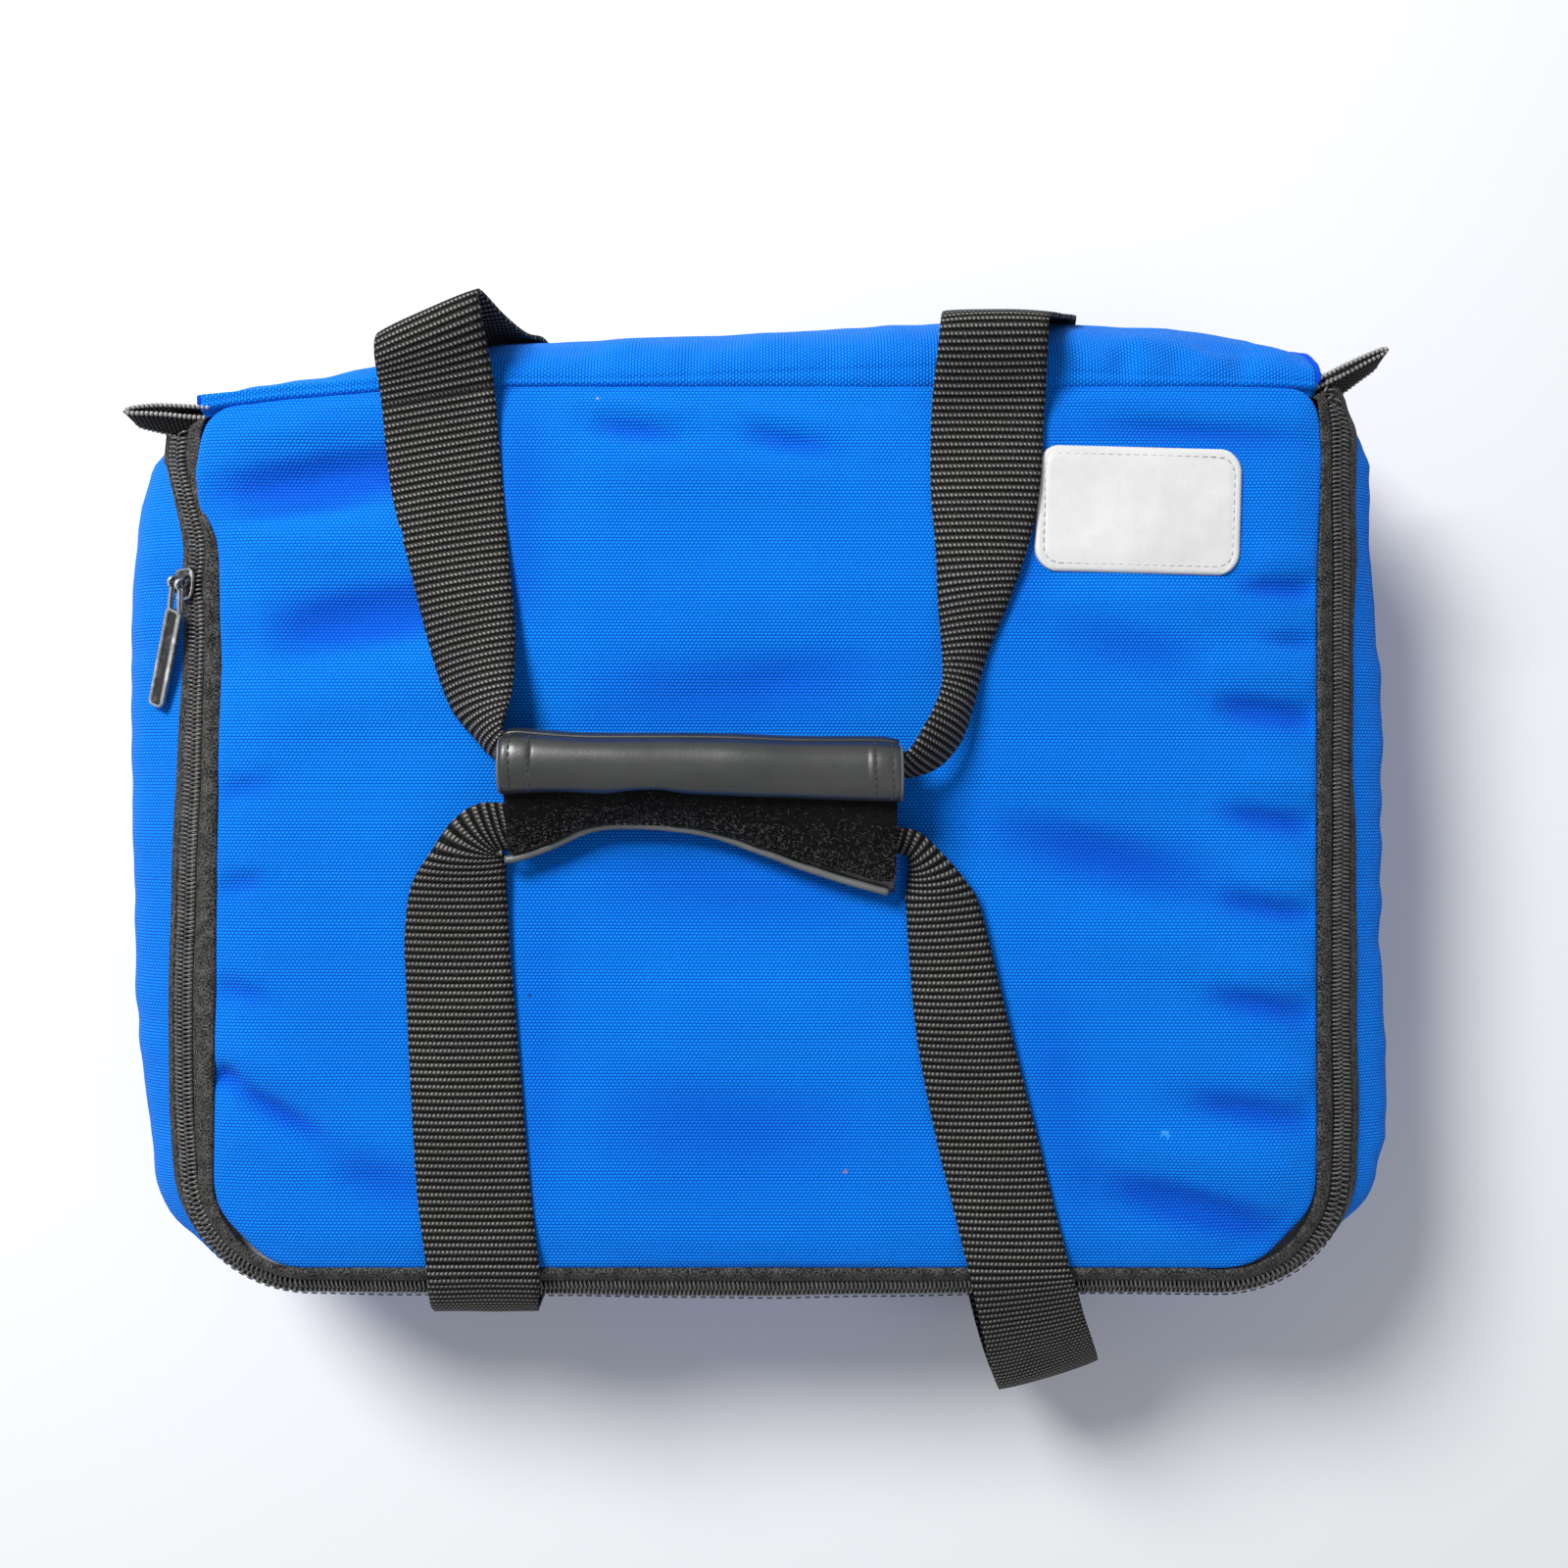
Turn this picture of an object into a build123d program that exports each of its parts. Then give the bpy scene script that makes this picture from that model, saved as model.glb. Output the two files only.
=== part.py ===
from build123d import *
import os
from math import atan2, cos, degrees, pi, radians, sin

os.makedirs("parts", exist_ok=True)

# The bag lies flat on its base: +X to its right, +Y to its hinge side, +Z up. All in mm.
# While the pieces are made, x = y = 0 is the middle of the lid. They are centred at the end.

# clearances
SKIN_GAP = 0.2  # between two layers that lie on each other
RUN_GAP = 0.35  # round a part that slides or turns

# lid
LID_HALF_X = 189.0
LID_HALF_Y = 150.0
LID_TOP = 98.0
LID_FRONT_RADIUS = 32.0
LID_BACK_RADIUS = 9.0
FABRIC = 1.2
LINING = 0.8
LID_FOAM = 8.2
LID_FOAM_INSET = 1.8
LID_BINDING = 1.2

# walls: height, half length, front, back, front corner radius, back corner radius
WALL_SECTIONS = [
    (3.2, LID_HALF_X + 4.0, -150.0, 150.0, 34.0, 20.0),
    (22.0, LID_HALF_X + 25.0, -160.0, 164.0, 44.0, 26.0),
    (50.0, LID_HALF_X + 33.0, -164.0, 172.0, 50.0, 30.0),
    (86.0, LID_HALF_X + 17.6, -167.2, 160.0, 50.0, 30.0),
]
FOAM_SHOULDER = (87.2, LID_HALF_X + 6.0, -157.0, 154.0, 42.0, 26.0)
CORNER_STEPS = 5
FOAM_INSET = 1.6
CAVITY_HALF_X = LID_HALF_X - 5.0
CAVITY_FRONT = -145.0
CAVITY_BACK = 146.0
CAVITY_RADIUS = 26.0
LINING_TOP = 86.8

# back panel that the lid hangs from: outer run in y and z, from its top seam down
SPINE_RUN = [
    (153.4, 94.6),
    (166.0, 91.0),
    (174.0, 82.0),
    (176.0, 62.0),
    (173.0, 40.0),
    (164.5, 20.0),
    (152.2, 4.2),
]
SPINE_HALF_X = LID_HALF_X - 1.4
SPINE_CUT_Y = 130.0
HINGE_Y = 152.0
HINGE_Z = 97.2
PIPING_RADIUS = 1.4

# base
BASE_Z = 1.8
BASE_HALF_X = LID_HALF_X + 2.0
BASE_HALF_Y = 149.0
BASE_RADIUS = 32.0
BOARD = 2.0
BASE_FOAM = 6.0
BASE_INSET = 1.0

# zip band, measured down its slope from the edge of the lid
BAND_SLOPE = 30.0
BAND_START = 0.3
BAND_DROP = 1.1
TAPE = 0.8
LID_TAPE = (0.0, 6.2)
LID_COIL = (6.4, 8.8)
TUB_COIL = (10.2, 12.6)
TUB_TAPE = (12.8, 19.4)
COIL_BELOW = 1.7
COIL_ABOVE = 0.9
BAND_END_Y = 138.0

# slider and its pull, in the plane of the band
SLIDER_Y = 84.5
SLIDER_LENGTH = 11.0
SLIDER_PLATE = 1.2
SLIDER_POST = 0.7
SLIDER_FLANGE = 1.0
SLIDER_FLANGE_LOW = 0.4
SLIDER_SIDE = 0.5
BRIDGE_POST_LENGTH = 2.2
BRIDGE_POST_WIDTH = 1.2
BRIDGE_GAP = 5.0
PULL_AXIS_HIGH = 5.6
PULL_BAR_RADIUS = 0.9
PULL_RING_RADIUS = 2.2
PULL_RING_WIDTH = 4.4
PULL_THICKNESS = 1.6
PULL_WIDTH = 7.2
PULL_START = 4.0
PULL_LENGTH = 44.0
PULL_CORNER = 2.4
PULL_RIM = 1.1
PULL_RECESS = 0.3
PULL_NECK_END = 6.0
PULL_SKEW = -15.0
PULL_PITCH = 3.0

# folded ribbon loops at the ends of the zip
LOOP_Y = 144.2
LOOP_INNER_X = LID_HALF_X + 2.0
LOOP_OUTER_X = LOOP_INNER_X + 30.0
LOOP_BOTTOM = 87.6
LOOP_HEIGHT = 10.0
LOOP_RIBBON = 1.2
LOOP_OUTSIDE = 5.4

# blank patch
PATCH_X = LID_HALF_X - 62.0
PATCH_Y = 109.0
PATCH_LENGTH = 70.0
PATCH_DEPTH = 43.0
PATCH_RADIUS = 8.0
PATCH_THICKNESS = 0.9
PATCH_TURN = -1.5

# webbing
WEBBING = 1.6
WEBBING_WIDTH = 38.0
BASE_STRAP = 1.6
BASE_STRAP_X = (-97.0, 95.0)
BASE_STRAP_HALF_Y = 140.0

# runs of webbing: y, z or y, z, x, and then x, y, z, width, thickness
BACK_STRAP_RUN = [
    (140.5, 0.8),
    (149.5, 0.8),
    (156.5, 4.6),
    (168.0, 22.0),
    (176.0, 42.0),
    (178.4, 62.0),
    (178.2, 74.0),
]
FRONT_STRAP_LEFT_RUN = [
    (-140.5, 0.8),
    (-149.5, 0.8),
    (-155.8, 4.6),
    (-164.0, 22.0),
    (-167.6, 50.0),
    (-171.0, 68.0),
    (-173.0, 78.0),
]
FRONT_STRAP_RIGHT_RUN = [
    (-140.5, 0.8, 95.0),
    (-150.0, 0.8, 95.0),
    (-165.0, 3.2, 95.0),
    (-182.0, 12.0, 99.0),
    (-196.0, 28.0, 102.0),
    (-203.0, 48.0, 103.5),
    (-198.0, 64.0, 100.0),
    (-188.0, 76.0, 96.5),
]
BACK_BEND_LEFT = [
    (-97.0, 178.4, 75.0, 38.0, 1.6),
    (-97.0, 179.0, 85.0, 38.0, 1.6),
    (-103.0, 180.6, 98.0, 38.0, 1.8),
    (-109.0, 178.0, 108.5, 38.0, 1.8),
    (-112.0, 168.5, 111.4, 38.0, 1.8),
    (-112.2, 156.0, 105.5, 38.0, 1.8),
    (-112.2, 147.9, 101.4, 37.8, 1.8),
]
BACK_BEND_RIGHT = [
    (95.0, 178.4, 75.0, 38.0, 1.6),
    (95.0, 179.0, 85.0, 38.0, 1.6),
    (87.5, 180.6, 97.0, 38.0, 1.8),
    (80.0, 178.0, 107.0, 37.0, 1.8),
    (76.2, 168.5, 110.6, 36.0, 1.8),
    (75.8, 156.0, 105.0, 36.0, 1.8),
    (75.8, 147.9, 101.4, 36.0, 1.8),
]
BACK_LEG_LEFT = [
    (-112.2, 146.6, 100.8, 37.8, 1.8),
    (-112.2, 140.0, 100.0, 37.6, 1.8),
    (-108.0, 115.7, 99.8, 37.0, 1.8),
    (-101.0, 76.0, 102.0, 31.0, 2.2),
    (-97.0, 48.0, 107.6, 19.0, 3.6),
    (-95.6, 31.8, 111.2, 13.0, 5.0),
]
BACK_LEG_RIGHT = [
    (75.8, 146.6, 100.8, 36.0, 1.8),
    (75.8, 138.0, 100.6, 36.0, 1.8),
    (75.6, 115.7, 100.6, 35.0, 1.8),
    (70.6, 74.0, 102.8, 26.0, 2.4),
    (62.0, 46.0, 108.0, 16.0, 4.2),
    (54.4, 31.8, 111.2, 13.0, 5.0),
]
FRONT_BEND_LEFT = [
    (-97.0, -173.4, 79.0, 38.0, 1.6),
    (-97.0, -173.0, 86.0, 38.0, 1.8),
    (-97.0, -168.0, 93.6, 38.0, 1.8),
    (-97.0, -158.0, 98.2, 38.0, 1.8),
    (-97.0, -148.8, 99.8, 38.0, 1.8),
]
FRONT_BEND_RIGHT = [
    (96.0, -187.0, 76.8, 38.0, 1.8),
    (92.5, -178.0, 86.0, 37.5, 1.8),
    (89.0, -168.0, 94.2, 36.5, 1.8),
    (85.4, -158.0, 98.4, 35.5, 1.8),
    (85.4, -148.8, 99.8, 35.0, 1.8),
]
FRONT_LEG_LEFT = [
    (-97.0, -147.6, 99.9, 38.0, 1.8),
    (-97.0, -136.0, 99.8, 38.0, 1.8),
    (-101.0, -88.0, 99.8, 37.0, 1.8),
    (-103.2, -46.0, 100.4, 35.0, 1.8),
    (-102.0, -24.0, 103.4, 25.0, 3.0),
    (-95.6, -11.5, 106.8, 13.0, 5.0),
]
FRONT_LEG_RIGHT = [
    (85.4, -147.6, 99.9, 35.0, 1.8),
    (85.4, -140.0, 99.8, 35.0, 1.8),
    (76.5, -110.0, 99.8, 33.0, 1.8),
    (64.0, -52.0, 101.2, 28.0, 2.2),
    (58.4, -26.0, 104.2, 20.0, 3.4),
    (54.4, -11.5, 106.8, 13.0, 5.0),
]

# grip of the back handle in its closing sleeve
GRIP_LEFT_X = -86.0
GRIP_RIGHT_X = 44.4
GRIP_OVERHANG = 16.0
STRIP_END = 2.0
SLEEVE_Y = 22.5
SLEEVE_Z = 113.5
SLEEVE_RADIUS = 12.5
SLEEVE_WALL = 1.5
SLEEVE_FRONT_ANGLE = 182.0
SLEEVE_REAR_ANGLE = 395.5
FLAP_START_ANGLE = 42.0
FLAP_END_ANGLE = 178.0
HOOK_START_ANGLE = 128.0
HOOK_THICKNESS = 1.6
BACK_GRIP_SIZE = 17.6
BACK_GRIP_DOWN = 1.8
BACK_GRIP_CORNER = 8.0

# grip of the front handle and the soft cover that carries the loop strip
FRONT_GRIP_Y = -3.4
FRONT_GRIP_Z = 107.1
FRONT_GRIP_DEPTH = 15.0
FRONT_GRIP_HEIGHT = 8.4
FRONT_GRIP_CORNER = 4.0
COVER_REAR_Y = 8.8
COVER_FRONT_Y = -16.0
COVER_TOP_REAR_Z = 114.6
COVER_TOP_FRONT_Z = 112.8
COVER_BOTTOM_Z = 101.4
COVER_WALL = 1.2
STRIP_THICKNESS = 2.0
STRIP_REAR_Y = 8.0
STRIP_FRONT_Y = -12.0


def plan(half_x, front, back, front_radius, back_radius):
    """A rounded outline, as a face at z = 0."""
    middle = (front + back) / 2
    face = Pos(0, middle) * Rectangle(2 * half_x, back - front)
    corners = face.vertices().sort_by(Axis.Y)
    face = fillet(corners[:2], front_radius)
    corners = face.vertices().filter_by(lambda v: v.Y > back - back_radius / 2)
    corners = corners.sort_by(Axis.Y)[-2:]
    return fillet(corners, back_radius)


def slab(face, bottom, top):
    """A face made into a slab between two heights."""
    return Pos(0, 0, bottom) * extrude(face, top - bottom)


def sized(section, inset):
    """A wall section with facetted corners, drawn in by the same amount all round."""
    height, half_x, front, back, front_radius, back_radius = section
    corners = [
        (half_x - back_radius, back - back_radius, back_radius),
        (back_radius - half_x, back - back_radius, back_radius),
        (front_radius - half_x, front + front_radius, front_radius),
        (half_x - front_radius, front + front_radius, front_radius),
    ]
    points = []
    for quarter, (x, y, radius) in enumerate(corners):
        for step in range(CORNER_STEPS + 1):
            angle = pi / 2 * (quarter + step / CORNER_STEPS)
            points.append((x + (radius - inset) * cos(angle), y + (radius - inset) * sin(angle)))
    return Pos(0, 0, height) * make_face(Polyline(*points, close=True))


def shell(sections, inset):
    """The solid inside the wall sections."""
    return loft([sized(section, inset) for section in sections], ruled=True)


def ribbon(stations):
    """Webbing or cloth: a ruled loft through flat cross-sections whose width stays along X."""
    sections = []
    last = len(stations) - 1
    for i, (x, y, z, width, thickness) in enumerate(stations):
        behind = stations[max(i - 1, 0)]
        ahead = stations[min(i + 1, last)]
        run = Vector(0, ahead[1] - behind[1], ahead[2] - behind[2])
        place = Plane(origin=(x, y, z), x_dir=(1, 0, 0), z_dir=run)
        sections.append(place * Rectangle(width, thickness))
    return loft(sections, ruled=True)


def strap(x, run):
    """Webbing that keeps to one plane square to X."""
    return ribbon([(x, y, z, WEBBING_WIDTH, WEBBING) for y, z in run])


def arc_strip(radius, wall, start, end, left, right):
    """A curved strip about the sleeve's middle line, from one angle to another."""
    steps = max(2, round(abs(end - start) / 15))
    angles = [radians(start + (end - start) * i / steps) for i in range(steps + 1)]
    inner = radius - wall
    points = [(radius * cos(a), radius * sin(a)) for a in angles]
    points += [(inner * cos(a), inner * sin(a)) for a in reversed(angles)]
    section = Plane.YZ * make_face(Polyline(*points, close=True))
    return Pos(left, SLEEVE_Y, SLEEVE_Z) * extrude(section, right - left)


def bar(depth, height, corner, y, z, left, right):
    """A rounded bar along X."""
    section = Plane.YZ * RectangleRounded(depth, height, corner)
    return Pos(left, y, z) * extrude(section, right - left)


def band_point(down, out):
    """A place on the zip band: distance outside the lid's edge, and height."""
    slope = radians(BAND_SLOPE)
    outside = BAND_START + down * cos(slope) + out * sin(slope)
    height = LID_TOP - BAND_DROP - down * sin(slope) + out * cos(slope)
    return outside, height


# the zip band runs down the left side, along the front and back up the right side
edge = Polyline(
    (-LID_HALF_X, BAND_END_Y),
    (-LID_HALF_X, -LID_HALF_Y),
    (LID_HALF_X, -LID_HALF_Y),
    (LID_HALF_X, BAND_END_Y),
)
edge_corners = edge.vertices().filter_by(lambda v: v.Y < 0)
band_path = fillet(edge_corners, LID_FRONT_RADIUS)
band_start = Plane(origin=(-LID_HALF_X, BAND_END_Y, 0), x_dir=(-1, 0, 0), z_dir=(0, -1, 0))


def band(span, low, high):
    """A strip of the zip band, swept round three sides of the lid."""
    near, far = span
    corners = [
        band_point(near, low),
        band_point(far, low),
        band_point(far, high),
        band_point(near, high),
    ]
    points = [band_start.from_local_coords(Vector(u, -z, 0)) for u, z in corners]
    section = make_face(Polyline(*points, close=True))
    return sweep(section, path=band_path)


# lid
lid_plan = plan(LID_HALF_X, -LID_HALF_Y, LID_HALF_Y, LID_FRONT_RADIUS, LID_BACK_RADIUS)
fabric_bottom = LID_TOP - FABRIC
foam_top = fabric_bottom - SKIN_GAP
foam_bottom = foam_top - LID_FOAM
lining_top = foam_bottom - SKIN_GAP
lining_bottom = lining_top - LINING
lid_fabric = slab(lid_plan, fabric_bottom, LID_TOP)


def lid_inset(inset):
    """The lid's outline, drawn in."""
    return plan(
        LID_HALF_X - inset,
        inset - LID_HALF_Y,
        LID_HALF_Y - inset,
        LID_FRONT_RADIUS - inset,
        LID_BACK_RADIUS - inset,
    )


lid_foam = slab(lid_inset(LID_FOAM_INSET), foam_bottom, foam_top)
lid_lining = slab(lid_inset(LID_FOAM_INSET), lining_bottom, lining_top)
binding_inner = LID_FOAM_INSET - SKIN_GAP
binding_plan = lid_inset(binding_inner - LID_BINDING) - lid_inset(binding_inner)
lid_binding = slab(binding_plan, lining_bottom, foam_top)
lid_tape = band(LID_TAPE, -TAPE, 0.0)
lid_coil = band(LID_COIL, -COIL_BELOW, COIL_ABOVE)

patch_face = RectangleRounded(PATCH_LENGTH, PATCH_DEPTH, PATCH_RADIUS)
patch_bottom = LID_TOP + SKIN_GAP
patch_slab = slab(Rot(Z=PATCH_TURN) * patch_face, patch_bottom, patch_bottom + PATCH_THICKNESS)
patch = Pos(PATCH_X, PATCH_Y) * patch_slab

# walls
outer = shell(WALL_SECTIONS, 0.0)
wall_top = WALL_SECTIONS[-1][0]
spine_room = Pos(0, SPINE_CUT_Y + LID_HALF_Y, 0) * Box(
    2 * (SPINE_HALF_X + SKIN_GAP),
    2 * LID_HALF_Y,
    4 * LID_TOP,
)
gusset_fabric = outer - shell(WALL_SECTIONS, FABRIC) - spine_room
spine_run = [(0.0, y, z, 2 * SPINE_HALF_X, FABRIC) for y, z in SPINE_RUN]
spine_fabric = ribbon(spine_run)
hinge_piping = Pos(-SPINE_HALF_X, HINGE_Y, HINGE_Z) * Rot(Y=90) * extrude(
    Circle(PIPING_RADIUS), 2 * SPINE_HALF_X
)
cavity_plan = plan(CAVITY_HALF_X, CAVITY_FRONT, CAVITY_BACK, CAVITY_RADIUS, CAVITY_RADIUS)
cavity = slab(cavity_plan, 0.0, LID_TOP)
foam_outer = shell(WALL_SECTIONS, FOAM_INSET) + loft(
    [sized(WALL_SECTIONS[-1], FOAM_INSET), sized(FOAM_SHOULDER, 0.0)], ruled=True
)
wall_foam = foam_outer - cavity


def cavity_inset(inset):
    """The cavity's outline, drawn in."""
    return plan(
        CAVITY_HALF_X - inset,
        CAVITY_FRONT + inset,
        CAVITY_BACK - inset,
        CAVITY_RADIUS - inset,
        CAVITY_RADIUS - inset,
    )


# base, from the outside in
base_plan = plan(BASE_HALF_X, -BASE_HALF_Y, BASE_HALF_Y, BASE_RADIUS, BASE_RADIUS)
board_bottom = BASE_Z + FABRIC + SKIN_GAP
board_top = board_bottom + BOARD
base_foam_bottom = board_top + SKIN_GAP
base_foam_top = base_foam_bottom + BASE_FOAM
base_lining_bottom = base_foam_top + SKIN_GAP
base_lining_top = base_lining_bottom + LINING
base_fabric = slab(base_plan, BASE_Z, BASE_Z + FABRIC)
base_board = slab(cavity_inset(BASE_INSET), board_bottom, board_top)
base_foam = slab(cavity_inset(SKIN_GAP), base_foam_bottom, base_foam_top)
base_lining = slab(cavity_inset(SKIN_GAP), base_lining_bottom, base_lining_top)
wall_lining_plan = cavity_inset(SKIN_GAP) - cavity_inset(SKIN_GAP + LINING)
wall_lining = slab(wall_lining_plan, base_lining_top + SKIN_GAP, LINING_TOP)

tub_tape = band(TUB_TAPE, -TAPE, 0.0)
tub_coil = band(TUB_COIL, -COIL_BELOW, COIL_ABOVE)

# folded ribbon loops
loop_length = LOOP_OUTER_X - LOOP_INNER_X
loop_outline = RectangleRounded(2 * loop_length, LOOP_OUTSIDE, LOOP_OUTSIDE / 2 - SKIN_GAP)
loop_hole = RectangleRounded(
    2 * (loop_length - LOOP_RIBBON),
    LOOP_OUTSIDE - 2 * LOOP_RIBBON,
    LOOP_OUTSIDE / 2 - LOOP_RIBBON - SKIN_GAP,
)
loop_half = Pos(loop_length / 2, 0) * Rectangle(loop_length, 2 * LOOP_OUTSIDE)
loop_face = (loop_outline - loop_hole) & loop_half
loop_solid = slab(loop_face, LOOP_BOTTOM, LOOP_BOTTOM + LOOP_HEIGHT)
end_loop_right = Pos(LOOP_INNER_X, LOOP_Y) * loop_solid
end_loop_left = mirror(end_loop_right, Plane.YZ)

# webbing under the base and up the walls
base_straps = [
    Pos(x, 0, BASE_STRAP / 2) * Box(WEBBING_WIDTH, 2 * BASE_STRAP_HALF_Y, BASE_STRAP)
    for x in BASE_STRAP_X
]
back_straps = [strap(x, BACK_STRAP_RUN) for x in BASE_STRAP_X]
front_strap_left = strap(BASE_STRAP_X[0], FRONT_STRAP_LEFT_RUN)
front_strap_right = ribbon(
    [(x, y, z, WEBBING_WIDTH, WEBBING) for y, z, x in FRONT_STRAP_RIGHT_RUN]
)
back_bend_left = ribbon(BACK_BEND_LEFT)
back_bend_right = ribbon(BACK_BEND_RIGHT)

# slider, made lying flat: x along the zip towards the front, y up the slope, z out of it
coil_middle = (LID_COIL[1] + TUB_COIL[0]) / 2
coil_half = TUB_COIL[1] - coil_middle
plate_half = coil_half + SLIDER_SIDE + SLIDER_FLANGE
top_low = COIL_ABOVE + RUN_GAP
top_high = top_low + SLIDER_PLATE
bottom_high = -COIL_BELOW - RUN_GAP
bottom_low = bottom_high - SLIDER_PLATE
plate_face = RectangleRounded(SLIDER_LENGTH, 2 * plate_half, PULL_CORNER)
slider_body = slab(plate_face, top_low, top_high) + slab(plate_face, bottom_low, bottom_high)
slider_body += slab(Rectangle(SLIDER_LENGTH / 2, SLIDER_POST), bottom_high, top_low)
for way in (-1, 1):
    flange_y = way * (plate_half - SLIDER_FLANGE / 2)
    flange_face = Pos(0, flange_y) * Rectangle(SLIDER_LENGTH - 2 * PULL_CORNER, SLIDER_FLANGE)
    slider_body += slab(flange_face, SLIDER_FLANGE_LOW, top_low)

bridge_reach = BRIDGE_GAP / 2 + BRIDGE_POST_WIDTH
bridge_top = PULL_AXIS_HIGH + PULL_BAR_RADIUS
bar_solid = extrude(Plane.XZ * Circle(PULL_BAR_RADIUS), bridge_reach, both=True)
slider_bridge = Pos(0, 0, PULL_AXIS_HIGH) * bar_solid
for way in (-1, 1):
    post_y = way * (BRIDGE_GAP + BRIDGE_POST_WIDTH) / 2
    post_face = Pos(0, post_y) * Rectangle(BRIDGE_POST_LENGTH, BRIDGE_POST_WIDTH)
    slider_bridge += slab(post_face, top_high, bridge_top)

# pull, with its ring about the origin, before it is set on the bridge
ring = extrude(Plane.XZ * Circle(PULL_RING_RADIUS), PULL_RING_WIDTH / 2, both=True)
tab_middle = (PULL_START + PULL_LENGTH) / 2
tab_reach = PULL_LENGTH - PULL_START
tab_face = Pos(tab_middle, 0) * RectangleRounded(tab_reach, PULL_WIDTH, PULL_CORNER)
tab = slab(tab_face, -PULL_THICKNESS / 2, PULL_THICKNESS / 2)
recess_length = tab_reach - 2 * PULL_RIM - PULL_NECK_END
recess_middle = PULL_LENGTH - PULL_RIM - recess_length / 2
recess_face = Pos(recess_middle, 0) * RectangleRounded(
    recess_length, PULL_WIDTH - 2 * PULL_RIM, PULL_CORNER - PULL_RIM
)
recess_floor = PULL_THICKNESS / 2 - PULL_RECESS
tab -= slab(recess_face, recess_floor, PULL_THICKNESS)
neck_face = Pos(PULL_NECK_END / 2, 0) * Rectangle(PULL_NECK_END, PULL_RING_WIDTH)
neck = slab(neck_face, -PULL_THICKNESS / 2, PULL_THICKNESS / 2)
bore = extrude(Plane.XZ * Circle(PULL_BAR_RADIUS + RUN_GAP), PULL_WIDTH, both=True)
pull_tab = Rot(Z=PULL_SKEW) * Rot(Y=PULL_PITCH) * tab
pull_tab = (pull_tab + Rot(Y=PULL_PITCH) * neck + ring) - bore

# the flat slider is set on the left run of the band
slider_out, slider_height = band_point(coil_middle, 0.0)
slope = radians(BAND_SLOPE)
slider_place = Plane(
    origin=(-LID_HALF_X - slider_out, SLIDER_Y, slider_height),
    x_dir=(0, -1, 0),
    z_dir=(-sin(slope), 0, cos(slope)),
).location
slider_body = slider_place * slider_body
slider_bridge = slider_place * slider_bridge
pull_tab = slider_place * Pos(0, 0, PULL_AXIS_HIGH) * pull_tab

# back handle
back_leg_left = ribbon(BACK_LEG_LEFT)
back_leg_right = ribbon(BACK_LEG_RIGHT)
grip_left = GRIP_LEFT_X - GRIP_OVERHANG
grip_right = GRIP_RIGHT_X + GRIP_OVERHANG
back_grip = bar(
    BACK_GRIP_SIZE,
    BACK_GRIP_SIZE,
    BACK_GRIP_CORNER,
    SLEEVE_Y,
    SLEEVE_Z - BACK_GRIP_DOWN,
    grip_left,
    grip_right,
)
wrap_sleeve = arc_strip(
    SLEEVE_RADIUS,
    SLEEVE_WALL,
    SLEEVE_FRONT_ANGLE,
    SLEEVE_REAR_ANGLE,
    GRIP_LEFT_X,
    GRIP_RIGHT_X,
)
wrap_flap = arc_strip(
    SLEEVE_RADIUS,
    SLEEVE_WALL,
    FLAP_START_ANGLE,
    FLAP_END_ANGLE,
    GRIP_LEFT_X,
    GRIP_RIGHT_X,
)
hook_strip = arc_strip(
    SLEEVE_RADIUS - SLEEVE_WALL - SKIN_GAP / 2,
    HOOK_THICKNESS,
    HOOK_START_ANGLE,
    FLAP_END_ANGLE,
    GRIP_LEFT_X + STRIP_END,
    GRIP_RIGHT_X - STRIP_END,
)

# front handle
front_bend_left = ribbon(FRONT_BEND_LEFT)
front_bend_right = ribbon(FRONT_BEND_RIGHT)
front_leg_left = ribbon(FRONT_LEG_LEFT)
front_leg_right = ribbon(FRONT_LEG_RIGHT)
front_grip = bar(
    FRONT_GRIP_DEPTH,
    FRONT_GRIP_HEIGHT,
    FRONT_GRIP_CORNER,
    FRONT_GRIP_Y,
    FRONT_GRIP_Z,
    grip_left,
    grip_right,
)
cover_points = [
    (COVER_REAR_Y, COVER_TOP_REAR_Z),
    (COVER_FRONT_Y, COVER_TOP_FRONT_Z),
    (COVER_FRONT_Y, COVER_BOTTOM_Z),
    (COVER_REAR_Y, COVER_BOTTOM_Z),
    (COVER_REAR_Y, COVER_BOTTOM_Z + COVER_WALL),
    (COVER_FRONT_Y + COVER_WALL, COVER_BOTTOM_Z + COVER_WALL),
    (COVER_FRONT_Y + COVER_WALL, COVER_TOP_FRONT_Z - COVER_WALL),
    (COVER_REAR_Y, COVER_TOP_REAR_Z - COVER_WALL),
]
cover_section = Plane.YZ * make_face(Polyline(*cover_points, close=True))
front_cover = Pos(GRIP_LEFT_X) * extrude(cover_section, GRIP_RIGHT_X - GRIP_LEFT_X)
cover_rise = COVER_TOP_REAR_Z - COVER_TOP_FRONT_Z
cover_tilt = degrees(atan2(cover_rise, COVER_REAR_Y - COVER_FRONT_Y))
strip_y = (STRIP_REAR_Y + STRIP_FRONT_Y) / 2
strip_z = COVER_TOP_FRONT_Z + cover_rise * (strip_y - COVER_FRONT_Y) / (COVER_REAR_Y - COVER_FRONT_Y)
strip_length = GRIP_RIGHT_X - GRIP_LEFT_X - 2 * STRIP_END
loop_strip = Pos(
    (GRIP_LEFT_X + GRIP_RIGHT_X) / 2,
    strip_y,
    strip_z + SKIN_GAP + STRIP_THICKNESS / 2,
) * Rot(X=cover_tilt) * Box(strip_length, STRIP_REAR_Y - STRIP_FRONT_Y, STRIP_THICKNESS)

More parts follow.
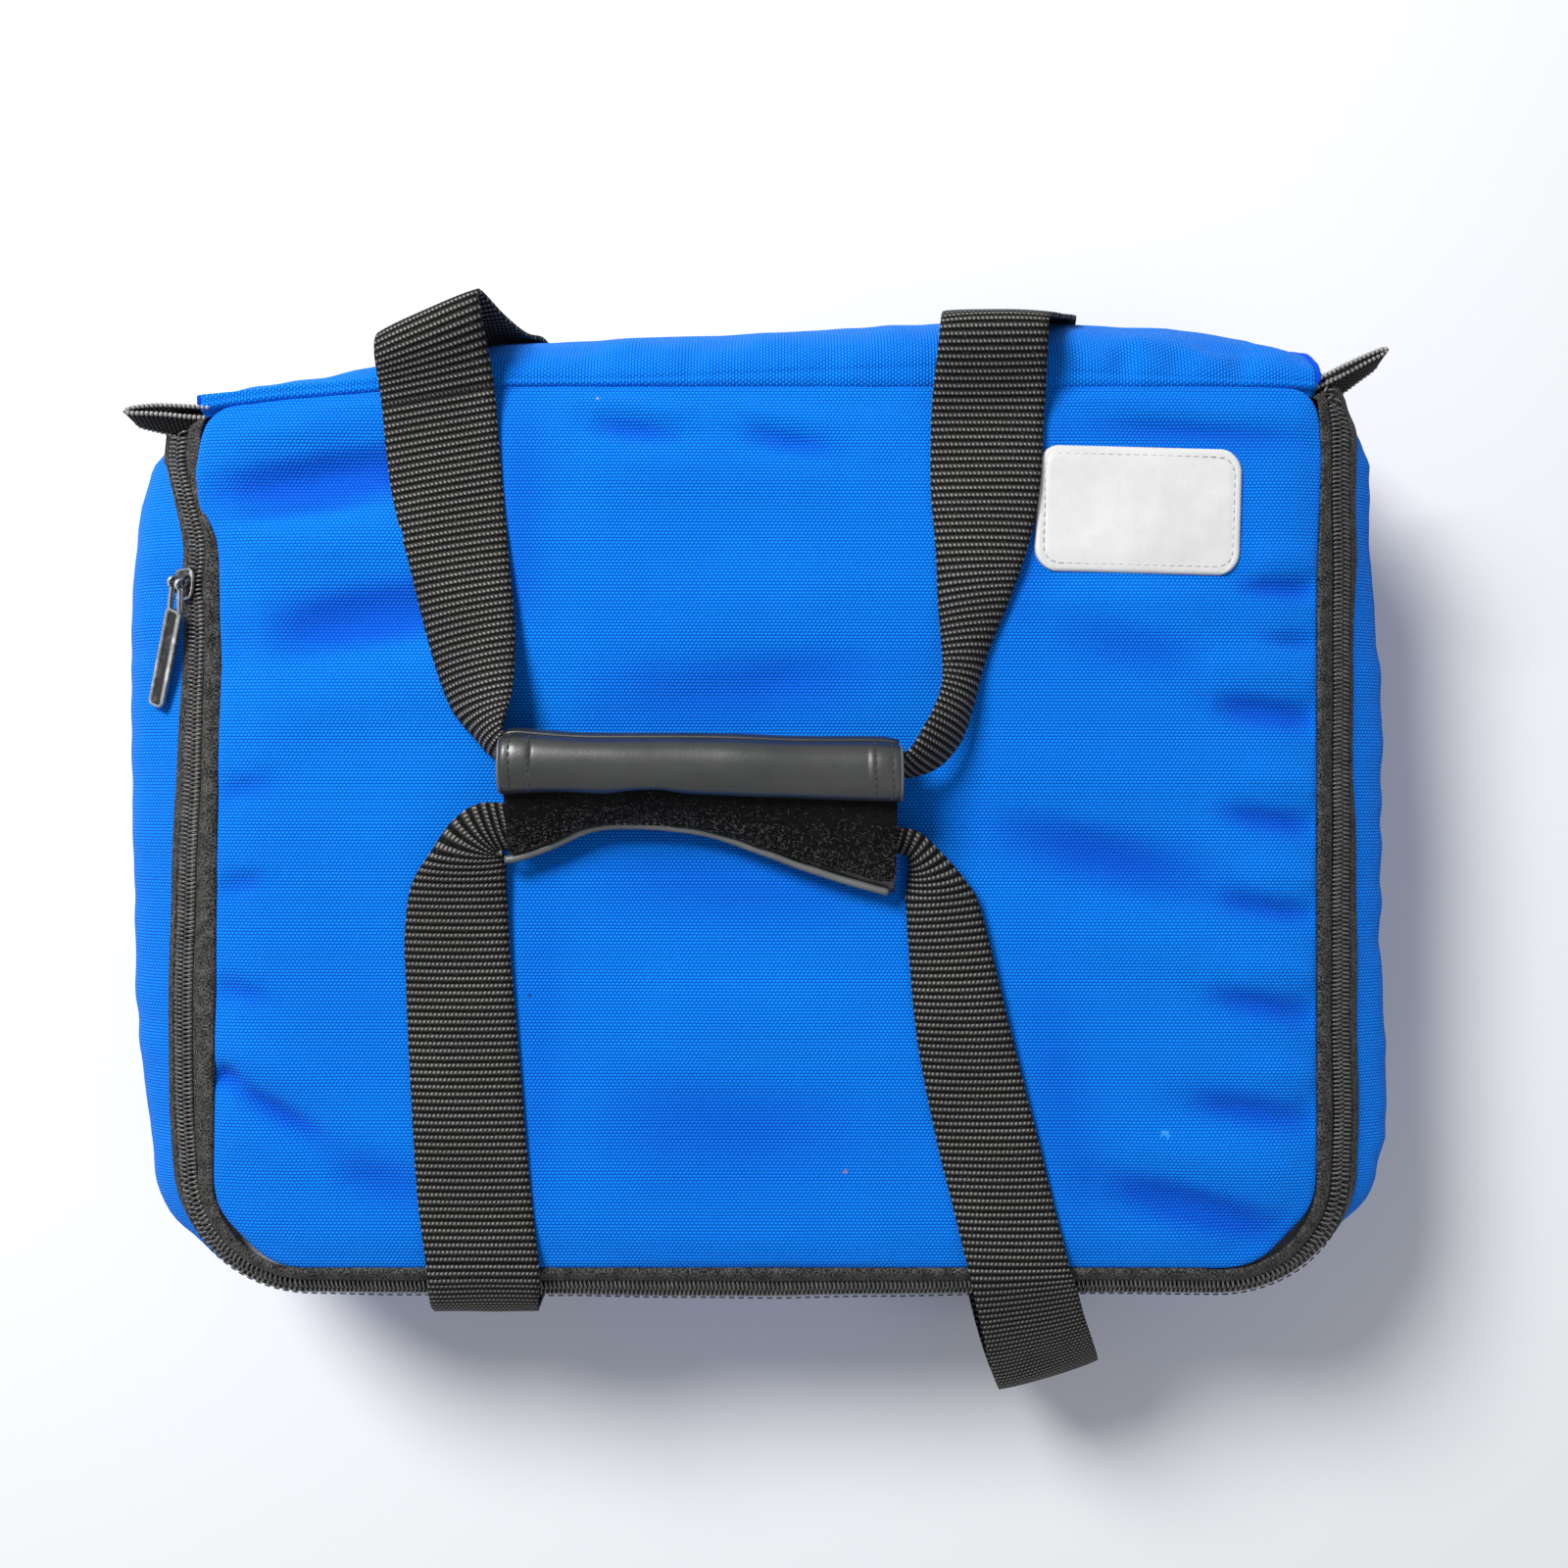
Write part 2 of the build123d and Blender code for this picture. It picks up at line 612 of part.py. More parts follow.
pieces = {
    "lid_fabric": lid_fabric,
    "lid_foam": lid_foam,
    "lid_lining": lid_lining,
    "lid_binding": lid_binding,
    "lid_zip_tape": lid_tape,
    "lid_zip_coil": lid_coil,
    "blank_patch": patch,
    "gusset_fabric": gusset_fabric,
    "spine_fabric": spine_fabric,
    "hinge_piping": hinge_piping,
    "wall_foam": wall_foam,
    "wall_lining": wall_lining,
    "base_fabric": base_fabric,
    "base_board": base_board,
    "base_foam": base_foam,
    "base_lining": base_lining,
    "tub_zip_tape": tub_tape,
    "tub_zip_coil": tub_coil,
    "end_loop_left": end_loop_left,
    "end_loop_right": end_loop_right,
    "base_strap_left": base_straps[0],
    "base_strap_right": base_straps[1],
    "back_strap_left": back_straps[0],
    "back_strap_right": back_straps[1],
    "front_strap_left": front_strap_left,
    "front_strap_right": front_strap_right,
    "back_bend_left": back_bend_left,
    "back_bend_right": back_bend_right,
    "slider_body": slider_body,
    "slider_bridge": slider_bridge,
    "pull_tab": pull_tab,
    "back_leg_left": back_leg_left,
    "back_leg_right": back_leg_right,
    "back_grip": back_grip,
    "wrap_sleeve": wrap_sleeve,
    "wrap_flap": wrap_flap,
    "hook_strip": hook_strip,
    "front_bend_left": front_bend_left,
    "front_bend_right": front_bend_right,
    "front_leg_left": front_leg_left,
    "front_leg_right": front_leg_right,
    "front_grip": front_grip,
    "front_cover": front_cover,
    "loop_strip": loop_strip,
}

# the whole bag is set on z = 0, centred in x and y
extent = Compound(children=[piece.moved(Location()) for piece in pieces.values()]).bounding_box()
middle = extent.center()
to_frame = Pos(-middle.X, -middle.Y, -extent.min.Z)
for name, piece in pieces.items():
    export_step(to_frame * piece, f"parts/{name}.step")
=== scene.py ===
from math import cos, pi, radians, sin

import bpy
import numpy as np
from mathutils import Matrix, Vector, noise
from mathutils.kdtree import KDTree


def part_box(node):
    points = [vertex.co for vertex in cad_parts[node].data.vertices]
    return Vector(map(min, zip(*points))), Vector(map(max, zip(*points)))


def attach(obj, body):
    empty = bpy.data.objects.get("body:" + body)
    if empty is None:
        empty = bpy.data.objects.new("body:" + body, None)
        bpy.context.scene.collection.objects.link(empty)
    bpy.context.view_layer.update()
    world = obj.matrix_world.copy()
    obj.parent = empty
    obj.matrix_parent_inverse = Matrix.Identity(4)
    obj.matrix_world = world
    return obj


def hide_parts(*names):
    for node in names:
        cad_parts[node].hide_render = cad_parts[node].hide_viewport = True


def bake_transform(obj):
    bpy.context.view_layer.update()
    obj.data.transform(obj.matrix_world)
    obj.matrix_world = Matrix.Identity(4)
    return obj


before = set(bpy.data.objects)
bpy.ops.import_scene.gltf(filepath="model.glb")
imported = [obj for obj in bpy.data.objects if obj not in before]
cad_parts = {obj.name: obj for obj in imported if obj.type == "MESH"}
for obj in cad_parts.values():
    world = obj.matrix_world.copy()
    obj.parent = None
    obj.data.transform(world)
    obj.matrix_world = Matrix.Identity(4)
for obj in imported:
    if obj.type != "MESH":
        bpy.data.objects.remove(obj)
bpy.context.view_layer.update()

# Points are written in mm in the bag's own frame, with x = y = 0 at the middle of the lid.
MM = 0.001
lid_low, lid_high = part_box("lid_fabric")
MIDDLE = np.array([(lid_low[0] + lid_high[0]) / 2, (lid_low[1] + lid_high[1]) / 2, 0.0])


def place(points):
    """Points in the bag's own frame, in mm, put into the shared frame in metres."""
    return np.asarray(points, float) * MM + MIDDLE


def P(x, y, z):
    """One such point as a Vector."""
    return Vector(place((x, y, z)))


def dress(obj, body, slot, *nodes):
    """Says which body a piece rides on, and the CAD nodes that it stands in for; its slot is not used."""
    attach(obj, body)
    if nodes:
        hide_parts(*nodes)


# ---------------------------------------------------------------- materials


class Nodes:
    """A material with its node tree, and short ways to add to it."""

    def __init__(self, name, **finish):
        self.material = bpy.data.materials.new(name)
        self.material.use_nodes = True
        self.tree = self.material.node_tree
        self.shader = self.tree.nodes["Principled BSDF"]
        for socket, value in finish.items():
            self.shader.inputs[socket.replace("_", " ")].default_value = value
        self.cache = {}

    def add(self, kind, inputs=(), **settings):
        node = self.tree.nodes.new(kind)
        for key, value in settings.items():
            setattr(node, key, value)
        for key, value in dict(inputs).items():
            if isinstance(value, bpy.types.NodeSocket):
                self.tree.links.new(value, node.inputs[key])
            else:
                node.inputs[key].default_value = value
        return node

    def math(self, operation, *values):
        return self.add("ShaderNodeMath", dict(enumerate(values)), operation=operation).outputs[0]

    def axes(self, source="UV"):
        if source not in self.cache:
            coordinates = self.add("ShaderNodeTexCoord")
            split = self.add("ShaderNodeSeparateXYZ", {0: coordinates.outputs[source]})
            self.cache[source] = coordinates.outputs[source], split.outputs
        return self.cache[source]

    def noise(self, scale, detail=3.0, source="UV", rough=0.5):
        vector, _ = self.axes(source)
        settings = {"Vector": vector, "Scale": scale, "Detail": detail, "Roughness": rough}
        return self.add("ShaderNodeTexNoise", settings).outputs["Fac"]

    def spread(self, value, low, high, to_low=0.0, to_high=1.0):
        settings = {0: value, 1: low, 2: high, 3: to_low, 4: to_high}
        return self.add("ShaderNodeMapRange", settings).outputs[0]

    def mix(self, share, a, b):
        node = self.add("ShaderNodeMix", data_type="RGBA")
        for socket, value in ((node.inputs[0], share), (node.inputs[6], a), (node.inputs[7], b)):
            if isinstance(value, bpy.types.NodeSocket):
                self.tree.links.new(value, socket)
            elif socket is node.inputs[0]:
                socket.default_value = value
            else:
                socket.default_value = (*value, 1.0)
        return node.outputs[2]

    def bump(self, height, distance, strength=1.0, below=None):
        settings = {"Height": height, "Distance": distance, "Strength": strength}
        if below is not None:
            settings["Normal"] = below
        return self.add("ShaderNodeBump", settings).outputs["Normal"]

    def stored(self, name):
        """A number kept on the mesh's points."""
        return self.add("ShaderNodeAttribute", attribute_name=name).outputs["Fac"]

    def blot(self, x, y, radius):
        """1 inside a ragged spot of the surface, 0 outside. x and y are in metres of UV."""
        vector, _ = self.axes()
        far = self.add("ShaderNodeVectorMath", {0: vector, 1: (x, y, 0.0)}, operation="DISTANCE").outputs["Value"]
        ragged = self.math("MULTIPLY_ADD", self.noise(700.0, 4.0), radius * 2.4, far)
        return self.spread(ragged, radius * 1.75, radius * 1.35)

    def finish(self, colour=None, rough=None, normal=None):
        for socket, value in (("Base Color", colour), ("Roughness", rough), ("Normal", normal)):
            if value is not None:
                self.tree.links.new(value, self.shader.inputs[socket])
        return self.material


def plain_weave(n, pitch_u, pitch_v):
    """Height of a heavy plain weave, 0 to 1, from UVs in metres: rows of threads, each row set over by half."""
    _, (u, v, _) = n.axes()
    v = n.math("DIVIDE", v, pitch_v)
    set_over = n.math("MULTIPLY", n.math("FLOOR", v), 0.5)
    u = n.math("ADD", n.math("DIVIDE", u, pitch_u), set_over)
    across = n.math("ABSOLUTE", n.math("SINE", n.math("MULTIPLY", u, pi)))
    down = n.math("ABSOLUTE", n.math("SINE", n.math("MULTIPLY", v, pi)))
    return n.math("MULTIPLY", n.math("POWER", across, 0.7), n.math("POWER", down, 0.7))


# Marks on the lid from use: place in the bag's frame in mm, size, and colour.
MARKS = [
    (27.4, -115.7, 1.6, (0.40, 0.20, 0.16)), (136.1, -102.4, 3.0, (0.06, 0.42, 0.95)),
    (-56.7, 147.0, 1.2, (0.45, 0.55, 0.7)), (58.4, 136.0, 1.0, (0.35, 0.5, 0.8)),
    (-80.0, -55.7, 1.6, (0.004, 0.02, 0.06)),
]


def blue_cloth(name="blue_weave", marks=()):
    n = Nodes(name, Roughness=0.85, Sheen_Weight=0.03, Sheen_Roughness=0.5, Specular_IOR_Level=0.1)
    weave = plain_weave(n, 0.00135, 0.00107)
    broad = n.noise(9.0, 4.0)
    fuzz = n.noise(900.0, 2.0)
    ground = n.mix(n.spread(broad, 0.3, 0.7), (0.0, 0.235, 0.84), (0.001, 0.275, 0.92))
    # Between the threads the weave is painted a deeper blue: painted shade in its gaps.
    deep = n.mix(n.spread(broad, 0.3, 0.7), (0.0, 0.055, 0.54), (0.0, 0.07, 0.62))
    colour = n.mix(n.spread(weave, 0.05, 0.75), deep, ground)
    colour = n.mix(n.spread(fuzz, 0.62, 0.9, 0.0, 0.35), colour, (0.03, 0.40, 1.0))
    # Where the lid's folds sink and where the handles and the wrap shade it, the cloth is painted a deeper blue:
    # painted shade and painted shadow.
    colour = n.mix(n.spread(n.stored("painted_shade"), 0.0, 1.0, 0.0, 0.6), colour, (0.0, 0.035, 0.50))
    for x, y, radius, stain in marks:
        colour = n.mix(n.math("MULTIPLY", n.blot(x * MM, y * MM, radius * MM), 0.7), colour, stain)
    rough = n.spread(weave, 0.0, 1.0, 0.92, 0.72)
    normal = n.bump(weave, 0.00034, 1.0)
    normal = n.bump(fuzz, 0.00006, 0.5, normal)
    return n.finish(colour, rough, normal)


def webbing_material(name="black_webbing", rib_pitch=0.00245, light=1.0):
    """Ribs across the webbing, each a row of slanted beads of thread on a dim cord, with black gaps between. The
    beads' light grey is a painted highlight, and the gaps are painted darker still: painted shade.
    """
    n = Nodes(name, Roughness=0.6, Specular_IOR_Level=0.12)
    _, (u, v, _) = n.axes()
    run = n.math("DIVIDE", v, rib_pitch)
    place_in_rib = n.math("FRACT", run)
    off = n.math("ABSOLUTE", n.math("SUBTRACT", place_in_rib, 0.5))
    body = n.spread(off, 0.36, 0.2)
    step = n.math("MULTIPLY", n.math("FLOOR", run), 0.37)
    bead = n.math("ADD", n.math("DIVIDE", u, 0.00145), step)
    bead = n.math("ADD", bead, n.math("MULTIPLY", place_in_rib, -0.6))
    bead = n.math("ABSOLUTE", n.math("SINE", n.math("MULTIPLY", bead, pi)))
    window = n.spread(n.math("ABSOLUTE", n.math("SUBTRACT", place_in_rib, 0.58)), 0.26, 0.1)
    bead = n.math("MULTIPLY", n.spread(bead, 0.45, 0.9), window)
    fray = n.math("SUBTRACT", n.noise(1300.0, 3.0), 0.5)
    glint_variation = n.spread(n.noise(35.0, 4.0), 0.35, 0.75, 0.7, 1.0)
    cord = n.mix(body, (0.0015, 0.0015, 0.0015), [light * c for c in (0.026, 0.025, 0.023)])
    # Painted highlight on the bead tops, made stronger or weaker by a broad noise.
    glint = n.math("MULTIPLY", n.math("MULTIPLY_ADD", fray, 0.9, bead), glint_variation)
    colour = n.mix(n.spread(glint, 0.05, 0.95), cord, [light * c for c in (0.27, 0.262, 0.24)])
    height = n.math("MULTIPLY_ADD", bead, 0.5, n.math("MULTIPLY", body, 0.5))
    height = n.math("MULTIPLY_ADD", fray, 0.2, height)
    return n.finish(colour, n.spread(height, 0.2, 1.0, 0.9, 0.5), n.bump(height, 0.0006, 0.8))


def tape_material():
    n = Nodes("zip_twill", Roughness=0.75, Specular_IOR_Level=0.2)
    grain = n.noise(1500.0, 2.0)
    broad = n.noise(240.0, 2.0)
    height = n.math("MULTIPLY_ADD", broad, 0.35, grain)
    colour = n.mix(n.spread(height, 0.58, 0.84), (0.003, 0.003, 0.003), (0.1, 0.097, 0.089))
    return n.finish(colour, n.spread(height, 0.5, 0.9, 0.9, 0.6), n.bump(height, 0.0005, 0.8))


def vinyl_material(name, colour_low, colour_high, gloss):
    n = Nodes(name, Roughness=gloss, Specular_IOR_Level=0.6)
    vector, _ = n.axes("Object")
    grain = n.add("ShaderNodeTexVoronoi", {"Vector": vector, "Scale": 1300.0}).outputs["Distance"]
    broad = n.noise(60.0, 4.0, "Object")
    scuff = n.noise(25.0, 6.0, "Object", 0.7)
    colour = n.mix(n.spread(broad, 0.3, 0.7), colour_low, colour_high)
    rough = n.spread(scuff, 0.3, 0.7, gloss - 0.07, gloss + 0.1)
    normal = n.bump(grain, 0.00005, 0.4)
    normal = n.bump(broad, 0.0004, 0.3, normal)
    return n.finish(colour, rough, normal)


def pile_material():
    n = Nodes("hook_and_loop_pile", Roughness=0.95, Specular_IOR_Level=0.1)
    fibre = n.noise(1400.0, 3.0, "Object", 0.7)
    tuft = n.noise(330.0, 3.0, "Object", 0.7)
    height = n.math("MULTIPLY_ADD", fibre, 0.6, tuft)
    glint = n.spread(fibre, 0.64, 0.76, 0.0, 0.4)
    colour = n.mix(n.spread(tuft, 0.3, 0.7), (0.0012, 0.0012, 0.0012), (0.008, 0.008, 0.008))
    colour = n.mix(glint, colour, (0.16, 0.155, 0.15))
    return n.finish(colour, n.spread(fibre, 0.6, 0.8, 0.95, 0.45), n.bump(height, 0.0009, 1.0))


def coil_material():
    n = Nodes("nylon_coil", Roughness=0.42, Specular_IOR_Level=0.6)
    broad = n.noise(220.0, 2.0, "Object")
    colour = n.mix(n.spread(broad, 0.3, 0.7), (0.04, 0.039, 0.037), (0.11, 0.107, 0.1))
    return n.finish(colour, n.spread(broad, 0.3, 0.7, 0.24, 0.38))


def metal_material(name="black_nickel", low=(0.05, 0.05, 0.053), high=(0.22, 0.22, 0.225)):
    n = Nodes(name, Metallic=1.0, Roughness=0.24)
    brushed = n.noise(700.0, 3.0, "Object")
    worn = n.noise(160.0, 5.0, "Object", 0.75)
    colour = n.mix(n.spread(worn, 0.48, 0.72), low, high)
    rough = n.spread(brushed, 0.3, 0.7, 0.16, 0.34)
    return n.finish(colour, rough, n.bump(worn, 0.00012, 0.4))


def patch_material():
    n = Nodes("white_leatherette", Roughness=0.5)
    vector, _ = n.axes("Object")
    grain = n.add("ShaderNodeTexVoronoi", {"Vector": vector, "Scale": 1500.0}).outputs["Distance"]
    broad = n.noise(45.0, 5.0, "Object", 0.6)
    fine = n.noise(420.0, 3.0, "Object")
    colour = n.mix(n.spread(broad, 0.3, 0.75), (0.70, 0.69, 0.67), (0.58, 0.575, 0.555))
    colour = n.mix(n.spread(fine, 0.6, 0.8, 0.0, 0.2), colour, (0.42, 0.415, 0.4))
    normal = n.bump(grain, 0.00006, 0.6)
    normal = n.bump(broad, 0.0008, 0.4, normal)
    return n.finish(colour, n.spread(broad, 0.3, 0.7, 0.42, 0.6), normal)


def film_material():
    n = Nodes("lining_film", Roughness=0.35)
    crease = n.noise(70.0, 5.0, "Object", 0.65)
    fine = n.noise(420.0, 3.0, "Object")
    colour = n.mix(n.spread(crease, 0.3, 0.7), (0.60, 0.61, 0.63), (0.70, 0.71, 0.72))
    normal = n.bump(crease, 0.0022, 0.5)
    normal = n.bump(fine, 0.0002, 0.4, normal)
    return n.finish(colour, n.spread(crease, 0.3, 0.7, 0.28, 0.45), normal)


def thread_material(name, low, high):
    n = Nodes(name, Roughness=0.6, Sheen_Weight=0.1)
    twist = n.noise(2600.0, 2.0, "Object")
    colour = n.mix(n.spread(twist, 0.35, 0.65), low, high)
    return n.finish(colour, None, n.bump(twist, 0.0001, 0.6))


BLUE = blue_cloth()
LID_BLUE = blue_cloth("blue_weave_lid", MARKS)
WEB = webbing_material()
TAPE = tape_material()
VINYL = vinyl_material("charcoal_vinyl", (0.009, 0.01, 0.01), (0.02, 0.021, 0.021), 0.35)
# The rolled vinyl edges are painted a lighter grey than the vinyl: a painted highlight on their curve.
VINYL_EDGE_HIGHLIGHT = vinyl_material("vinyl_fold_painted_highlight", (0.07, 0.073, 0.072), (0.13, 0.135, 0.133), 0.40)
PILE = pile_material()
COIL = coil_material()
METAL = metal_material()
# The slider's and pull's rims are made of pale nickel: a painted reflection on the dark metal's bevels.
REFLECTION_PAINTED_METAL = metal_material("nickel_painted_reflection", (0.34, 0.35, 0.36), (0.85, 0.86, 0.88))
PATCH = patch_material()
FILM = film_material()
BLACK_THREAD = thread_material("black_thread", (0.004, 0.004, 0.004), (0.012, 0.012, 0.012))
BLUE_THREAD = thread_material("blue_thread", (0.002, 0.07, 0.45), (0.004, 0.11, 0.62))
GREY_THREAD = thread_material("grey_thread", (0.42, 0.43, 0.45), (0.62, 0.63, 0.65))
# The black ribbon's twisted edges are painted light grey: a painted highlight.
SELVEDGE_HIGHLIGHT = thread_material("ribbon_selvedge_painted_highlight", (0.16, 0.156, 0.146), (0.50, 0.49, 0.46))
FIBRE = thread_material("loose_fibre", (0.008, 0.008, 0.008), (0.2, 0.197, 0.19))
RIBBON = webbing_material("black_ribbon", 0.0016, 0.25)

# ---------------------------------------------------------------- mesh helpers


def unit(vectors):
    """Vectors made 1 long."""
    return vectors / np.linalg.norm(vectors, axis=-1, keepdims=True)


def read(table, at):
    """A table of places and values, read off at other places."""
    return np.interp(at, *np.array(table).T)


def quads(index):
    """The faces of a grid of point numbers."""
    return np.stack([index[:-1, :-1], index[:-1, 1:], index[1:, 1:], index[1:, :-1]], 2).reshape(-1, 4)


def ring_faces(n, rings):
    """The faces of a closed form made of rings of n points: its two ends, then its sides ring by ring."""
    faces = [tuple(range(n))[::-1], tuple(range((rings - 1) * n, rings * n))]
    for r in range(rings - 1):
        faces += [(r * n + i, r * n + (i + 1) % n, (r + 1) * n + (i + 1) % n, (r + 1) * n + i) for i in range(n)]
    return faces


def set_uv(mesh, uv):
    """Gives a mesh its UVs, from one pair in metres for each point."""
    corners = np.empty(len(mesh.loops), int)
    mesh.loops.foreach_get("vertex_index", corners)
    mesh.uv_layers.new(name="UVMap").data.foreach_set("uv", np.asarray(uv, float)[corners].ravel())


def object_of(name, points, faces, material, uv=None):
    """A mesh object. Points are in mm in the bag's own frame; uv is one pair in metres for each point."""
    mesh = bpy.data.meshes.new(name)
    mesh.from_pydata([tuple(p) for p in place(points)], [], [tuple(map(int, f)) for f in faces])
    mesh.materials.append(material)
    if uv is not None:
        set_uv(mesh, uv)
    mesh.polygons.foreach_set("use_smooth", [True] * len(mesh.polygons))
    mesh.update()
    obj = bpy.data.objects.new(name, mesh)
    bpy.context.scene.collection.objects.link(obj)
    return obj


def bake(obj, *modifiers):
    """Adds modifiers and applies them."""
    for kind, settings in modifiers:
        modifier = obj.modifiers.new(kind, kind)
        for key, value in settings.items():
            setattr(modifier, key, value)
    graph = bpy.context.evaluated_depsgraph_get()
    mesh = bpy.data.meshes.new_from_object(obj.evaluated_get(graph))
    obj.modifiers.clear()
    obj.data = mesh
    return obj


def thicken(obj, thickness, offset=-1.0):
    settings = {"thickness": thickness * MM, "offset": offset, "use_even_offset": True}
    return bake(obj, ("SOLIDIFY", settings))


def smooth_run(rows, per):
    """A smooth curve through rows of numbers, with per steps from each to the next."""
    rows = np.array(rows, float)
    ends = np.vstack([2 * rows[0] - rows[1], rows, 2 * rows[-1] - rows[-2]])
    t = np.arange(per)[:, None] / per
    out = []
    for a, b, c, d in zip(ends, ends[1:], ends[2:], ends[3:]):
        bend = (2 * a - 5 * b + 4 * c - d) * t**2 + (3 * b - a - 3 * c + d) * t**3
        out.append(0.5 * (2 * b + (c - a) * t + bend))
    out.append(rows[-1:])
    return np.vstack(out)


def lengths(points):
    """Distance run along each of a row of points."""
    steps = np.linalg.norm(np.diff(points, axis=0), axis=1)
    return np.concatenate([[0.0], np.cumsum(steps)])


def evenly(points, step):
    """A run of points cut again at an even spacing."""
    run = lengths(points)
    count = max(2, int(round(run[-1] / step)) + 1)
    at = np.linspace(0, run[-1], count)
    return np.stack([np.interp(at, run, points[:, k]) for k in range(points.shape[1])], 1)


def sheet_of(name, rows, material, thickness=0.0, offset=-1.0, closed=False):
    """A surface through a grid of points, rows along it, with UVs in metres: u across, v along."""
    rows = np.asarray(rows, float)
    count, wide = rows.shape[:2]
    across = np.array([lengths(row) for row in rows])
    across -= across[:, -1:] / 2
    along = lengths(rows[:, wide // 2])
    uv = np.stack([across, np.repeat(along[:, None], wide, 1)], 2).reshape(-1, 2) * MM
    index = np.arange(count * wide).reshape(count, wide)
    if closed:
        index = np.vstack([index, index[:1]])
    obj = object_of(name, rows.reshape(-1, 3), quads(index), material, uv)
    return thicken(obj, thickness, offset) if thickness else obj


def tube(name, path, radius, material, sides=6, closed=False):
    """A round tube along a run of points. radius is a number or one for each point."""
    path = np.asarray(path, float)
    ahead = np.roll(path, -1, 0) - np.roll(path, 1, 0)
    if not closed:
        ahead[0], ahead[-1] = path[1] - path[0], path[-1] - path[-2]
    ahead = unit(ahead)
    side = np.cross(ahead, (0.0, 0.0, 1.0))
    flat = np.linalg.norm(side, axis=1) < 0.05
    side[flat] = np.cross(ahead[flat], (0.0, 1.0, 0.0))
    side = unit(side)
    up = np.cross(side, ahead)
    angle = 2 * pi * np.arange(sides) / sides
    radius = np.broadcast_to(radius, len(path))[:, None, None]
    ring = side[:, None] * np.cos(angle)[None, :, None] + up[:, None] * np.sin(angle)[None, :, None]
    points = (path[:, None] + radius * ring).reshape(-1, 3)
    index = np.arange(len(points)).reshape(len(path), sides)
    if closed:
        index = np.vstack([index, index[:1]])
    index = np.hstack([index, index[:, :1]])
    faces = list(quads(index))
    if not closed:
        faces += [tuple(index[0, :-1][::-1]), tuple(index[-1, :-1])]
    return object_of(name, points, faces, material)


def stitches(name, runs, material, length=2.4, gap=0.9, radius=0.28):
    """Rows of sewn stitches: a short thread for each, along runs of points."""
    shape = np.array([(-1, 0.0), (-0.8, 0.75), (0, 1.0), (0.8, 0.75), (1, 0.0)])
    angle = 2 * pi * np.arange(6) / 6
    sides = ring_faces(len(angle), len(shape))[2:]
    points, faces = [], []
    for run in runs:
        ticks = evenly(np.asarray(run, float), length + gap)
        for start, end in zip(ticks, ticks[1:]):
            way = end - start
            step = np.linalg.norm(way)
            way /= step
            side = np.cross(way, (0.0, 0.0, 1.0))
            if np.linalg.norm(side) < 0.05:
                side = np.cross(way, (0.0, 1.0, 0.0))
            side /= np.linalg.norm(side)
            up = np.cross(side, way)
            middle = (start + end) / 2
            half = step / 2 * length / (length + gap)
            rings = [
                middle + way * along * half + radius * out * (side * cos(a) + up * sin(a))
                for along, out in shape
                for a in angle
            ]
            faces += [[i + len(points) * len(rings) for i in face] for face in sides]
            points.append(np.array(rings))
    return object_of(name, np.vstack(points), faces, material)


def wobble(points, size, height, seed):
    """Smooth noise, one number for each point, of about +/- height."""
    shift = Vector((seed * 7.3, seed * 3.1, seed * 5.7))
    return np.array([noise.noise(Vector(p) / size + shift) for p in points]) * height * 2


def ridge(x, y, start, end, width, height):
    """A soft fold along a straight line in plan, fading at both ends."""
    dx, dy = end[0] - start[0], end[1] - start[1]
    t = np.clip(((x - start[0]) * dx + (y - start[1]) * dy) / (dx * dx + dy * dy), 0, 1)
    off = np.hypot(x - start[0] - t * dx, y - start[1] - t * dy)
    return height * np.exp(-((off / width) ** 2)) * np.sin(pi * np.clip(t, 0.04, 0.96)) ** 0.7

# ---------------------------------------------------------------- lid

# The lid's half sizes, and the radii of its front and back corners.
LID = {"x": 189.0, "y": 150.0, "front": 32.0, "back": 9.0}


def outline(half_x, front, back, front_radius, back_radius, step):
    """A rounded outline as evenly spaced points, anticlockwise from the middle of the back."""
    corners = [
        (back_radius - half_x, back - back_radius, back_radius, 90),
        (front_radius - half_x, front + front_radius, front_radius, 180),
        (half_x - front_radius, front + front_radius, front_radius, 270),
        (half_x - back_radius, back - back_radius, back_radius, 0),
    ]
    points = [(0.0, back)]
    for cx, cy, r, first in corners:
        for a in np.radians(first + np.linspace(0, 90, 13)):
            points.append((cx + r * cos(a), cy + r * sin(a)))
    points.append((0.0, back))
    return evenly(np.array(points), step)[:-1]


def turned_edge(ring, half_x, front, back, turn):
    """Rows round an outline, each running through turn, (how far out, height), straight out of its middle."""
    rows = []
    for px, py in ring:
        out = np.array([px - np.clip(px, -half_x, half_x), py - np.clip(py, front, back)])
        out /= max(np.linalg.norm(out), 1e-6)
        rows.append([(px + o * out[0], py + o * out[1], z) for o, z in turn])
    return np.array(rows)


